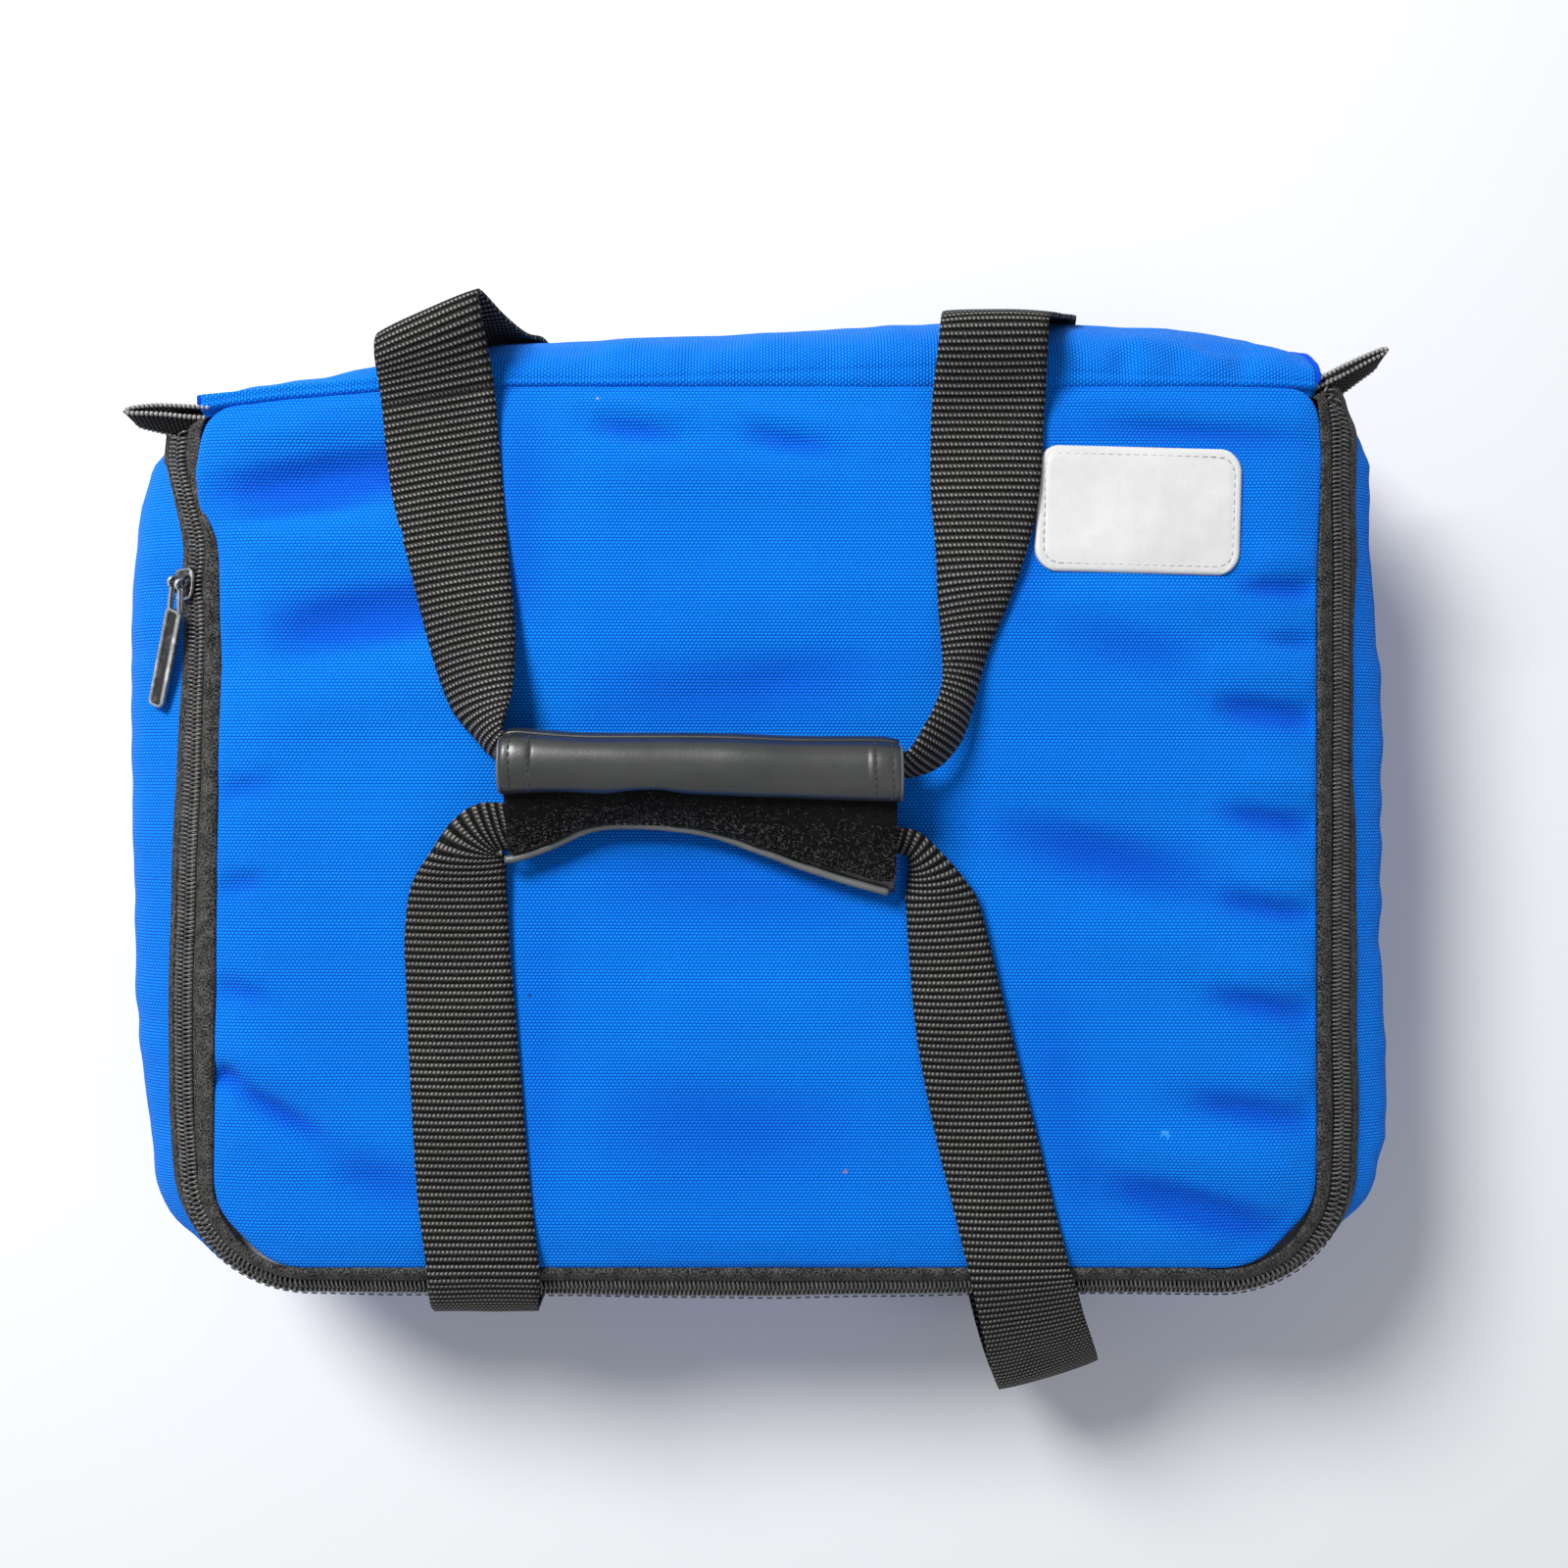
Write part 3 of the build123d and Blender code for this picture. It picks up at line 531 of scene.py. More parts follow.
FOLDS = [
    # upper left: long waves that rise to the right
    ((-188, 139), (-100, 148), 9.0, 1.5), ((-188, 117), (-104, 127), 9.5, -2.0),
    ((-182, 106), (-128, 112), 3.6, -0.8),
    ((-186, 94), (-104, 103), 10.0, 1.7), ((-176, 66), (-92, 80), 12.0, -1.9), ((-184, 40), (-84, 58), 13.0, 1.3),
    # by the back seam
    ((-64, 147), (-20, 141), 4.0, 1.2), ((-62, 139), (-24, 133), 5.0, -1.3), ((-14, 145), (24, 137), 4.0, 1.1),
    ((-10, 136), (26, 129), 5.5, -1.3), ((-70, 126), (30, 118), 10.0, 1.0), ((98, 147), (180, 141), 4.5, 1.0),
    ((104, 139), (186, 133), 5.0, -1.1),
    # puckers along the right edge
    ((150, 94), (191, 92), 5.0, 1.2), ((158, 84), (191, 82), 4.2, -1.5), ((148, 57), (191, 52), 6.0, 1.3),
    ((150, 44), (191, 37), 5.5, -1.8), ((166, 66), (191, 63), 3.2, -0.9), ((160, 20), (191, 14), 5.0, 1.1),
    ((150, 8), (191, 0), 5.0, -1.5), ((164, -12), (191, -17), 4.0, 0.9), ((152, -22), (191, -30), 4.6, -1.4),
    ((158, -44), (191, -50), 4.6, 1.1), ((146, -54), (191, -64), 5.2, -1.5), ((160, -80), (191, -84), 4.6, 1.0),
    ((140, -90), (190, -100), 6.0, -1.5), ((118, -104), (184, -118), 7.0, 1.4), ((112, -118), (180, -138), 7.5, -1.9),
    # broad waves over the right half
    ((62, 30), (150, 10), 12.0, 1.1), ((74, 4), (156, -20), 12.0, -1.4), ((92, -30), (150, -44), 12.0, 1.1),
    ((98, 92), (160, 74), 12.0, 0.8), ((96, 70), (156, 58), 10.0, -0.9),
    # lower left crease and its neighbours
    ((-191, -83), (-178, -84), 3.6, -1.4), ((-184, -84), (-148, -106), 4.0, -1.5),
    ((-186, -72), (-146, -90), 6.0, 0.9),
    ((-182, -100), (-152, -118), 6.0, 0.8), ((-150, -112), (-112, -124), 8.0, -1.0),
    ((-189, -52), (-166, -58), 4.6, -0.9),
    ((-189, -20), (-168, -16), 4.4, -0.8), ((-189, 12), (-164, 18), 4.6, -0.8),
    # the middle
    ((-40, 70), (40, 84), 16.0, 0.9), ((-50, 44), (44, 58), 14.0, -1.1), ((-46, -56), (40, -66), 16.0, 0.9),
    ((-60, -96), (40, -104), 18.0, -0.8), ((-50, -140), (50, -143), 6.0, 0.8),
]
# Where the handles and the grip wrap cast shadow on the lid, painted there as deeper blue: ends, width and share.
PAINTED_SHADOWS = [
    ((-82, 150), (-82, 62), 9.0, 0.5), ((-74, -18), (-78, -142), 7.0, 0.35), ((101, 140), (84, 66), 8.0, 0.5),
    ((92, -40), (110, -142), 10.0, 0.45), ((-66, -12), (44, -26), 14.0, 0.6), ((-30, 60), (-66, 34), 12.0, 0.3),
]
# How far the lid's fabric stands out past its straight edges, by place along them.
LEFT_OUT = [
    (-118, 0.0), (24, -1.7), (43, -2.4), (56, -3.0), (70, -2.2), (93, -2.0), (99, -1.2), (105, 1.0), (113, 4.6),
    (127, 5.9), (137, 4.5), (146, 3.0), (152, 2.0),
]
RIGHT_OUT = [(-118, 0.4), (84, 0.4), (100, 1.0), (128, 2.0), (140, 1.2), (152, 0.0)]
# The lid's edge in section: how far out of the panel's flat top, and how far below it.
SIDE_TURN = [(1.7, -0.45), (2.4, -1.3), (2.6, -2.6), (2.6, -5.6), (2.0, -7.8), (0.5, -8.6)]
BACK_TURN = [(4.2, -0.35), (4.6, -0.8), (4.2, -1.3), (2.4, -2.0), (2.2, -6.0), (0.5, -8.6)]
# The lid's back lip, by place along it. It lies over the spine, and reaches back to the hinge's axis at most.
BACK_LIP = 152.0
BACK_LINE = [
    (-192, 143.6), (-184, 145.0), (-165, 147.4), (-133, 150.0), (-94, 152.0), (150, 152.0), (175, 151.7),
    (192, 150.7),
]
PANEL_INSET = 2.6
PANEL_TOP = 97.2


def side_limit(y, inset):
    """Half the lid's width at places along it, inside its rounded corners."""
    half_x, half_y = LID["x"] - inset, LID["y"] - inset
    limit = np.full_like(y, half_x)
    for way, radius in ((-1, LID["front"] - inset), (1, LID["back"] - inset)):
        past = np.clip(way * y - (half_y - radius), 0, radius)
        limit -= radius - np.sqrt(radius**2 - past**2)
    return limit


def panel_mesh(name):
    """The lid as a closed panel: a grid on top, a turned edge all round, and a grid below."""
    half_y = LID["y"] - PANEL_INSET
    front, back = LID["front"] - PANEL_INSET, LID["back"] - PANEL_INSET
    y = np.concatenate([
        front - half_y - front * np.cos(np.linspace(0, pi / 2, 11)),
        np.linspace(front - half_y, half_y - back, 68)[1:-1],
        half_y - back + back * np.sin(np.linspace(0, pi / 2, 5)),
    ])
    grid_x = np.linspace(-1, 1, 97)[None] * side_limit(y, PANEL_INSET)[:, None]
    rows, wide = grid_x.shape
    flat = np.stack([grid_x, np.repeat(y[:, None], wide, 1)], 2).reshape(-1, 2)
    index = np.arange(rows * wide).reshape(rows, wide)
    loop = np.concatenate([index[0], index[1:, -1], index[-1, -2::-1], index[-2:0:-1, 0]])
    ring = flat[loop]
    ahead = np.roll(ring, -1, 0) - np.roll(ring, 1, 0)
    ahead = unit(ahead)
    out = np.stack([ahead[:, 1], -ahead[:, 0]], 1)
    behind = np.clip((out[:, 1] - 0.3) / 0.6, 0, 1)[:, None]
    points = [np.column_stack([flat, np.full(len(flat), PANEL_TOP)])]
    for (a, low_a), (b, low_b) in zip(SIDE_TURN, BACK_TURN):
        reach = a + (b - a) * behind
        drop = low_a + (low_b - low_a) * behind
        points.append(np.column_stack([ring + out * reach, PANEL_TOP + drop]))
    points.append(np.column_stack([flat, np.full(len(flat), PANEL_TOP + SIDE_TURN[-1][1])]))
    top = quads(index)
    size, count = rows * wide, len(loop)
    below = size + count * len(SIDE_TURN)
    faces = list(top) + list(top[:, ::-1] + below)
    bands = [loop] + [size + count * k + np.arange(count) for k in range(len(SIDE_TURN))] + [below + loop]
    for upper, lower in zip(bands, bands[1:]):
        faces += zip(upper, lower, np.roll(lower, -1), np.roll(upper, -1))
    return object_of(name, np.vstack(points), faces, LID_BLUE)


FOLD_DEPTH = 2.3


def lid_folds(x, y):
    """How far folds and puckers lift or lower the lid's fabric, in mm."""
    lift = np.zeros_like(x)
    for start, end, width, height in FOLDS:
        lift += FOLD_DEPTH * ridge(x, y, start, end, width, height)
    return lift


# The cloth simulation: its voxel and its cap in mm, its pressure, and its steps.
VOXEL_SIZE, SWELL_CAP = 4.0, 2.4
PUFF_PRESSURE, SWELL_STEPS = 4.0, 20


def swell_of(points):
    """How far each point of the lid moves as its foam puffs it out: a cloth simulation on a plain copy."""
    copy = panel_mesh("swell_copy")
    bake(copy, ("REMESH", {"mode": "VOXEL", "voxel_size": VOXEL_SIZE * MM}))
    start = np.array([v.co for v in copy.data.vertices])
    cloth = copy.modifiers.new("Cloth", "CLOTH")
    cloth.settings.use_pressure = True
    cloth.settings.uniform_pressure_force = PUFF_PRESSURE
    cloth.settings.effector_weights.gravity = 0.0
    for step in range(1, SWELL_STEPS + 1):
        bpy.context.scene.frame_set(step)
    bake(copy)
    bpy.context.scene.frame_set(1)
    moved = np.array([v.co for v in copy.data.vertices]) - start
    bpy.data.objects.remove(copy)
    far = np.linalg.norm(moved, axis=1)[:, None]
    moved *= np.minimum(1.0, SWELL_CAP * MM / np.maximum(far, 1e-9))
    tree = KDTree(len(start))
    for k, spot in enumerate(start):
        tree.insert(spot, k)
    tree.balance()
    out = []
    for spot in points:
        near = tree.find_n(spot, 6)
        weights = np.array([1.0 / (d + MM) for _, _, d in near])
        out.append((moved[[k for _, k, _ in near]] * weights[:, None]).sum(0) / weights.sum())
    return np.array(out)


# Above this height the swell is held down, most of all under the wrap and the patch.
HELD_LEVEL = 98.4


def lid_pad():
    """The lid: a foam-filled panel, puffed by simulation and then creased."""
    pad = panel_mesh("lid_pad")
    spots = np.array([v.co for v in pad.data.vertices])
    moved = swell_of(spots)
    flat = (spots - MIDDLE) / MM
    inside = np.minimum(LID["x"] - np.abs(flat[:, 0]), LID["y"] - np.abs(flat[:, 1]))
    moved *= np.clip(inside / 8.0, 0.1, 1.0)[:, None]
    pad.data.vertices.foreach_set("co", (spots + moved).ravel())
    bake(pad, ("SUBSURF", {"levels": 1, "render_levels": 1}))
    spots = (np.array([v.co for v in pad.data.vertices]) - MIDDLE) / MM
    x, y, z = spots.T
    above = np.clip((z - 92.0) / 4.0, 0, 1)
    inside = np.minimum(LID["x"] - np.abs(x), LID["y"] - np.abs(y))
    crown = 1.0 - np.exp(-np.clip(inside, 0, None) / 9.0)
    swell = wobble(np.stack([x, y, 0 * x], 1), 75.0, 0.7, 1)
    ripple = wobble(np.stack([x, y, 0 * x], 1), 17.0, 0.16, 2)
    folds = lid_folds(x, y) * np.clip(inside / 3.0, 0.15, 1)
    z += above * (0.7 * crown + swell * crown + ripple + folds)
    under = np.exp(-((np.maximum(np.abs(x + 21) - 62, 0) / 14) ** 2 + ((y - 8) / 26) ** 2))
    # The fabric lies flatter under the grip wrap and under the patch.
    aside = np.maximum(np.abs(x - 127) - 36, 0) ** 2 + np.maximum(np.abs(y - 109) - 22, 0) ** 2
    under = np.maximum(under, np.exp(-aside / 36.0))
    z = np.where(z > HELD_LEVEL, HELD_LEVEL + (z - HELD_LEVEL) * (0.5 - 0.35 * under), z)
    x -= read(LEFT_OUT, y) * np.clip((-x - 150.0) / 36.0, 0, 1)
    x += read(RIGHT_OUT, y) * np.clip((x - 150.0) / 36.0, 0, 1)
    y += (read(BACK_LINE, x) - BACK_LIP) * np.clip((y - 100.0) / 50.0, 0, 1)
    spots = np.column_stack([x, y, z])
    pad.data.vertices.foreach_set("co", place(spots).ravel())
    set_uv(pad.data, spots[:, :2] * MM)
    # Painted shade: the folds' valleys and the shadows of the handles and the wrap, kept on the lid's points for the
    # cloth to darken by.
    painted_shade = pad.data.attributes.new("painted_shade", "FLOAT", "POINT")
    painted_shadow = sum(ridge(x, y, *where) for where in PAINTED_SHADOWS)
    painted_shade.data.foreach_set("value", np.clip(np.clip(-folds / 3.0, 0, 1) + painted_shadow, 0, 1) * above)
    pad.data.polygons.foreach_set("use_smooth", [True] * len(pad.data.polygons))
    pad.data.update()
    return pad


lid_skin = lid_pad()
dress(lid_skin, "lid", "blue_fabric", "lid_fabric", "lid_foam")


def rounded_grid(half_x, front, back, front_radius, back_radius, step):
    """Rows of points in plan that fill a rounded rectangle, and how far inside its edge each one is."""
    arc = np.linspace(0, pi / 2, 9)
    count = int((back - front - front_radius - back_radius) / step)
    y = np.concatenate([
        front + front_radius * (1 - np.cos(arc)),
        np.linspace(front + front_radius, back - back_radius, count)[1:-1],
        back - back_radius + back_radius * np.sin(arc),
    ])
    limit = np.full_like(y, half_x)
    for past, radius in ((front + front_radius - y, front_radius), (y - back + back_radius, back_radius)):
        past = np.clip(past, 0, radius)
        limit -= radius - np.sqrt(radius**2 - past**2)
    share = np.linspace(-1, 1, int(2 * half_x / step))
    grid = np.stack([share[None] * limit[:, None], np.repeat(y[:, None], len(share), 1)], 2)
    inside = np.minimum(limit[:, None] - np.abs(grid[..., 0]), np.minimum(y - front, back - y)[:, None])
    return grid, inside


def film_panel(name, half_x, front, back, front_radius, back_radius, z, sag, seed):
    """A loose sheet of lining film over a flat panel."""
    grid, inside = rounded_grid(half_x, front, back, front_radius, back_radius, 3.6)
    flat = np.dstack([grid, np.zeros(inside.shape)])
    spots = flat.reshape(-1, 3)
    lift = (wobble(spots, 26.0, 0.5, seed) + wobble(spots, 9.0, 0.18, seed + 1)).reshape(inside.shape)
    flat[..., 2] = z + np.clip(inside / 12.0, 0, 1) * (sag + lift)
    return sheet_of(name, flat, FILM, 0.5, 0.0)


lid_film = film_panel("lid_lining_film", 186.6, -147.6, 147.6, 30.0, 8.0, 87.9, -0.15, 11)
dress(lid_film, "lid", "lining", "lid_lining")

BINDING_TURN = [(-3.4, 87.3), (-0.2, 87.0), (1.4, 87.6), (1.7, 89.0)]
binding_rows = turned_edge(outline(185.4, -146.4, 146.2, 29.0, 6.4, 2.5), 156, -118, 140, BINDING_TURN)
binding = sheet_of("lid_edge_binding", binding_rows, TAPE, 0.6, 0.0, closed=True)
dress(binding, "lid", "zip_tape", "lid_binding")

# ---------------------------------------------------------------- zip band

# The zip band leaves the lid's edge on a 30 degree slope, and its lower tape turns down past the coils.
SLOPE_REACH = 13.4
TAPE_REACH = 18.4
COIL_MIDDLE = 9.5
COIL_REACH = 4.6
# The band starts at this height, a little outside the lid's edge.
BAND_TOP = 96.9
EDGE_GAP = 0.3
# Each coil: its pitch, half its width and height, its wire's radius, and how far it lies from the middle.
COIL_PITCH, COIL_HALF, COIL_HIGH, COIL_WIRE, COIL_APART = 1.5, 1.85, 1.15, 0.42, 1.75
TAPER_START = 137.0
TAPER_LENGTH = 13.0
LEFT_WAVE = smooth_run(
    [
        (152, 1.0), (146, 2.0), (137.4, 4.9), (126.6, 6.2), (113, 1.7), (99.7, -3.2), (91, -3.2), (84.5, -1.8),
        (77, -2.7), (70, -2.9), (49.7, -2.1), (24, -1.4), (-18, 0.8), (-51, 2.4), (-85, 2.4), (-118, 0.5),
        (-150, 0.0),
    ],
    8,
)


def taper(line):
    """How the band narrows as it runs into the back corners."""
    t = np.clip((line[:, 1] - TAPER_START) / TAPER_LENGTH, 0, 1)
    return 1.0 - np.where(line[:, 0] < 0, 0.74, 0.36) * t * t * (3 - 2 * t)


def band_wave(line):
    """How far the coils wander from their straight line, outwards."""
    left = np.interp(-line[:, 1], -LEFT_WAVE[:, 0], LEFT_WAVE[:, 1]) * (line[:, 0] < -150)
    reach = np.clip((line[:, 1] + 118) / 20, 0, 1) * np.clip((150 - line[:, 1]) / 20, 0, 1)
    right = (0.9 + 0.7 * np.sin(line[:, 1] / 31.0)) * (line[:, 0] > 150) * reach
    front = 0.35 * np.sin(line[:, 0] / 23.0) * (line[:, 1] < -140)
    return left + right + front


def band_tilt(out):
    """The band's slope: steeper along the front."""
    return np.radians(30.0 + 12.0 * np.clip(-out[:, 1], 0, 1) ** 1.5)


def tape_tilt(out):
    """The slope of the lower tape past the coils: it hangs straight down along the front."""
    return np.radians(40.0 + 48.0 * np.clip(-out[:, 1], 0, 1) ** 1.5)


# Arcs that end the lid's edge at its back corners, for the band and for the wall: middle, radius, start and sweep.
BAND_ENDS = (-180.0, 136.0, 9.0, 152, 28), (185.0, 145.5, 4.0, 0, 45)
WALL_ENDS = (-180.0, 136.0, 9.0, 140, 40), (184.0, 145.0, 5.0, 0, 50)


def edge_line(ends, per_arc, step):
    """The lid's edge from its back left round the front to its back right, with the way out."""
    x, y, r = LID["x"], LID["y"], LID["front"]
    points = []
    for cx, cy, radius, first, sweep in (ends[0], (r - x, r - y, r, 180, 90), (x - r, r - y, r, 270, 90), ends[1]):
        for a in np.radians(first + np.linspace(0, sweep, per_arc)):
            points.append((cx + radius * cos(a), cy + radius * sin(a)))
    line = evenly(np.array(points), step)
    ahead = unit(np.gradient(line, axis=0))
    return line, np.stack([ahead[:, 1], -ahead[:, 0]], 1)


def band_frame(step):
    """For places along the band: a point on the lid's edge, the way down the slope, the way out of it."""
    line, out = edge_line(BAND_ENDS, 25, step)
    run = lengths(line)
    rise = 0.35 * np.sin(run / 17.0) + 0.25 * np.sin(run / 7.3)
    tilt = band_tilt(out) + 0.05 * np.sin(run / 41.0)
    share = taper(line)[:, None]
    down = np.column_stack([out * np.cos(tilt)[:, None], -np.sin(tilt)]) * share
    up = np.column_stack([out * np.sin(tilt)[:, None], np.cos(tilt)])
    base = np.column_stack([line + EDGE_GAP * out, np.full(len(line), BAND_TOP)])
    return base, down, up, band_wave(line), rise, line


def bent(reach, height, base, down, up, line):
    """Points at a reach down the band and a height over it. Past its coils the band turns down to the wall."""
    flat = unit(down[:, :2])
    slope = tape_tilt(flat * (line[:, 1] < 0)[:, None])
    steep = np.column_stack([flat * np.cos(slope)[:, None], -np.sin(slope)]) * taper(line)[:, None]
    first = np.clip(reach, 0.0, SLOPE_REACH)[:, None]
    rest = np.maximum(reach - SLOPE_REACH, 0.0)[:, None]
    level = np.column_stack([flat, np.full(len(flat), 0.25)]) * np.minimum(reach, 0.0)[:, None]
    return base + level + down * first + steep * rest + up * height[:, None]


def edge_out(line):
    """How far the lid's edge stands out of its straight line, as a reach down the band."""
    left = read(LEFT_OUT, line[:, 1]) * (line[:, 0] < -150)
    right = read(RIGHT_OUT, line[:, 1]) * (line[:, 0] > 150)
    return np.where(left + right > 0, (left + right) * 1.15, left + right) * (line[:, 1] < 148)


def band_strip(name, low, high, follow_low, sink, crown):
    """A tape of the band. Its outer edge takes the whole wave; sink lowers it where it runs under the coils."""
    base, down, up, wave, rise, line = band_frame(1.2)
    start = low + (edge_out(line) if follow_low else wave)
    rows = []
    for share in np.linspace(0, 1, 15):
        at = start + (high + wave - start) * share
        under = np.clip(1.0 - np.abs(at - wave - COIL_MIDDLE) / COIL_REACH, 0, 1)
        height = rise * 0.5 * share - sink * np.clip(under * 4.0, 0, 1)
        height = height + crown * np.sin(pi * np.clip(share * 1.6 if follow_low else share, 0, 1)) * (under <= 0)
        rows.append(bent(at, height, base, down, up, line))
    return sheet_of(name, np.array(rows).transpose(1, 0, 2), TAPE, 0.7, 0.0)


def coil(name, middle, way):
    """One half of the zip: a flattened nylon helix sewn along its tape."""
    base, down, up, wave, rise, _ = band_frame(0.5)
    run = lengths(base)
    per_turn = 8
    count = int(run[-1] / COIL_PITCH * per_turn)
    at = np.linspace(0, run[-1], count)
    pick = lambda values: np.stack([np.interp(at, run, values[:, k]) for k in range(3)], 1)
    base, down, up = pick(base), pick(down), pick(up)
    wave = np.interp(at, run, wave)
    rise = np.interp(at, run, rise)
    angle = 2 * pi * np.arange(count) / per_turn + (0 if way > 0 else pi)
    reach = middle + way * COIL_HALF * np.cos(angle) + wave
    height = 0.1 + COIL_HIGH * np.sin(angle) + rise * 0.5
    path = base + down * reach[:, None] + up * height[:, None]
    return tube(name, path, COIL_WIRE, COIL, 5)


lid_tape = band_strip("lid_zip_tape_cloth", -1.2, 9.2, True, 1.5, 0.5)
lid_coil = coil("lid_zip_coil_turns", COIL_MIDDLE - COIL_APART, -1)
tub_tape = band_strip("tub_zip_tape_cloth", 9.8, TAPE_REACH + 0.4, False, 1.5, 0.3)
tub_coil = coil("tub_zip_coil_turns", COIL_MIDDLE + COIL_APART, 1)
for piece, body, node in (
    (lid_tape, "lid", "lid_zip_tape"),
    (lid_coil, "lid", "lid_zip_coil"),
    (tub_tape, "tub", "tub_zip_tape"),
    (tub_coil, "tub", "tub_zip_coil"),
):
    dress(piece, body, "zip_coil" if "coil" in node else "zip_tape", node)


# The seams follow most of the band's wave, and lie a little over its tapes.
SEAM_WAVE, SEAM_LIFT = 0.9, 0.35


def band_row(offset):
    """A line of stitching along the band, at one distance down its slope."""
    base, down, up, wave, rise, _ = band_frame(1.0)
    shift = (offset + wave * SEAM_WAVE)[:, None]
    return base + down * shift + up * (SEAM_LIFT + rise * SEAM_WAVE * 0.5)[:, None]


for body, offset in (("lid", 4.3), ("tub", 15.0)):
    dress(stitches(f"{body}_tape_stitches", [band_row(offset)], BLACK_THREAD), body, "zip_tape")

# ---------------------------------------------------------------- walls

LEFT_BULGE = [
    (-118, 28.5), (-110, 29.5), (-96, 31.2), (-82, 33.0), (-54, 35.0), (-12, 36.4), (30, 37.5), (58, 37.1),
    (86, 36.1),
    (114, 34.0), (128, 29.8), (137, 22.0), (143, 14.0), (152, 4.0),
]
RIGHT_BULGE = [
    (-118, 30.0), (-109, 34.0), (-96, 34.5), (-82, 34.5), (-54, 33.5), (-40, 32.1), (16, 32.1), (30, 32.8),
    (44, 32.1),
    (58, 30.7), (86, 28.9), (114, 27.5), (128, 26.1), (137, 19.0), (143, 12.0), (152, 4.0),
]


FRONT_BULGE = 13.5


def bulge_of(line, out):
    """The wall's widest reach outside the lid's edge."""
    left = read(LEFT_BULGE, line[:, 1])
    right = read(RIGHT_BULGE, line[:, 1])
    side = np.where(line[:, 0] < 0, left, right)
    power = np.where(line[:, 0] < 0, 6.0, 9.0)
    facing = np.abs(out[:, 0]) ** power
    facing = np.where(line[:, 1] > 0, 1.0, facing)
    return FRONT_BULGE + (side - FRONT_BULGE) * facing


def tape_end(line, out):
    """Where the zip's lower tape ends: its reach outside the lid's edge, and its height."""
    ahead = out * (line[:, 1] < 0)[:, None]
    tilt, slope = band_tilt(ahead), tape_tilt(ahead)
    upper_left = np.clip((line[:, 1] - 10) / 60.0, 0, 1) * (line[:, 0] < 0)
    share = taper(line)
    more = (TAPE_REACH - SLOPE_REACH - 1.4 * upper_left + band_wave(line) * 0.8) * share
    first = SLOPE_REACH * share
    reach = EDGE_GAP + first * np.cos(tilt) + more * np.cos(slope)
    return reach, BAND_TOP - first * np.sin(tilt) - more * np.sin(slope)


def wall_rows():
    """The wall as rows down it, from its left end round the front to its right end."""
    line, out = edge_line(WALL_ENDS, 19, 2.0)
    bulge = bulge_of(line, out)
    reach, top = tape_end(line, out)
    run = lengths(line)
    low = 4.0 * np.abs(out[:, 0])
    narrow = 1.0 - taper(line)
    tuck, lift = np.maximum(3.0 * (1.0 - narrow), 2.0), 0.6 - 1.6 * narrow
    rows = []
    for i in range(len(line)):
        widest, first, high, foot = bulge[i], reach[i], top[i], low[i]
        widest = max(widest, first + 1.0)
        profile = [
            (first - tuck[i], high + lift[i]),
            (first, high - 0.2),
            (first + 0.62 * (widest - first), high - 5.5),
            (widest - (0.5 if line[i, 0] < 0 else 3.0), 72.5),
            (widest, 62.0),
            (foot + 0.955 * (widest - foot), 46.0),
            (foot + 0.72 * (widest - foot), 25.0),
            (foot + 0.32 * (widest - foot), 9.5),
            (foot, 3.6),
            (foot - 5.0, 2.3),
        ]
        rows.append(smooth_run(profile, 4))
    rows = np.array(rows)
    spread, z = rows[..., 0], rows[..., 1]
    along = np.repeat(run[:, None], rows.shape[1], 1)
    spots = np.stack([along, z, 0 * z], 2).reshape(-1, 3)
    broad = wobble(spots * (1.0, 0.7, 1.0), 56.0, 0.6, 21).reshape(z.shape)
    pucker = wobble(spots * (1.0, 0.25, 1.0), 9.0, 1.0, 22).reshape(z.shape)
    near_top = np.exp(-((top[:, None] - 3.0 - z) / 11.0) ** 2)
    near_foot = np.exp(-((z - 8.0) / 9.0) ** 2)
    free = np.clip((top[:, None] - z) / 3.0, 0, 1) * np.clip((z - 2.5) / 4.0, 0, 1)
    spread = spread + free * (broad + pucker * (0.55 * near_top + 0.7 * near_foot + 0.1))
    x = line[:, 0, None] + out[:, 0, None] * spread
    y = line[:, 1, None] + out[:, 1, None] * spread
    grid = np.stack([x, y, z], 2)
    # Both ends of the wall run into the spine's edges.
    for end in (0, -1):
        edge = spine_grid[end]
        fall = edge[int(np.argmax(edge[:, 2])) :][::-1]
        seam = np.column_stack([
            np.full(z.shape[1], edge[0, 0] + np.sign(edge[0, 0]) * 0.5),
            np.interp(z[end], fall[:, 2], fall[:, 1]) - 0.3,
            np.minimum(z[end], fall[-1, 2] - 0.4),
        ])
        away = np.linalg.norm(line - line[end], axis=1)
        share = np.clip(1.0 - away / 15.0, 0, 1)
        share = (share * share * (3 - 2 * share))[:, None, None]
        grid = grid * (1 - share) + seam[None] * share
    return grid


# How far back the spine stands at its widest, by place along it.
SPINE_OUT = [
    (-193, 147.9), (-188, 150.4), (-183, 152.5), (-168, 156.6), (-142, 163.6), (-118, 169.6), (-94, 175.4),
    (-45, 177.4), (11, 180.0), (61, 182.8), (103, 182.4), (145, 181.2), (172, 177.0), (188, 171.0),
]
# The sewn crease behind the lid, by place along it.
CREASE_LINE = [
    (-193, 145.4), (-133, 150.4), (-94, 152.8), (-41, 154.4), (11, 156.8), (56, 158.4), (97, 157.0), (127, 155.6),
    (162, 154.2), (190, 153.0),
]
# The spine in section past its crease: share of the way out, and height.
SPINE_FALL = [(0.22, 96.2), (0.42, 93.0), (0.64, 85.5), (0.80, 75.0), (0.94, 66.0), (1.0, 57.0)]
SPINE_FOOT = [(0.97, 46.0), (0.84, 36.0), (0.42, 17.0), (0.05, 4.6)]
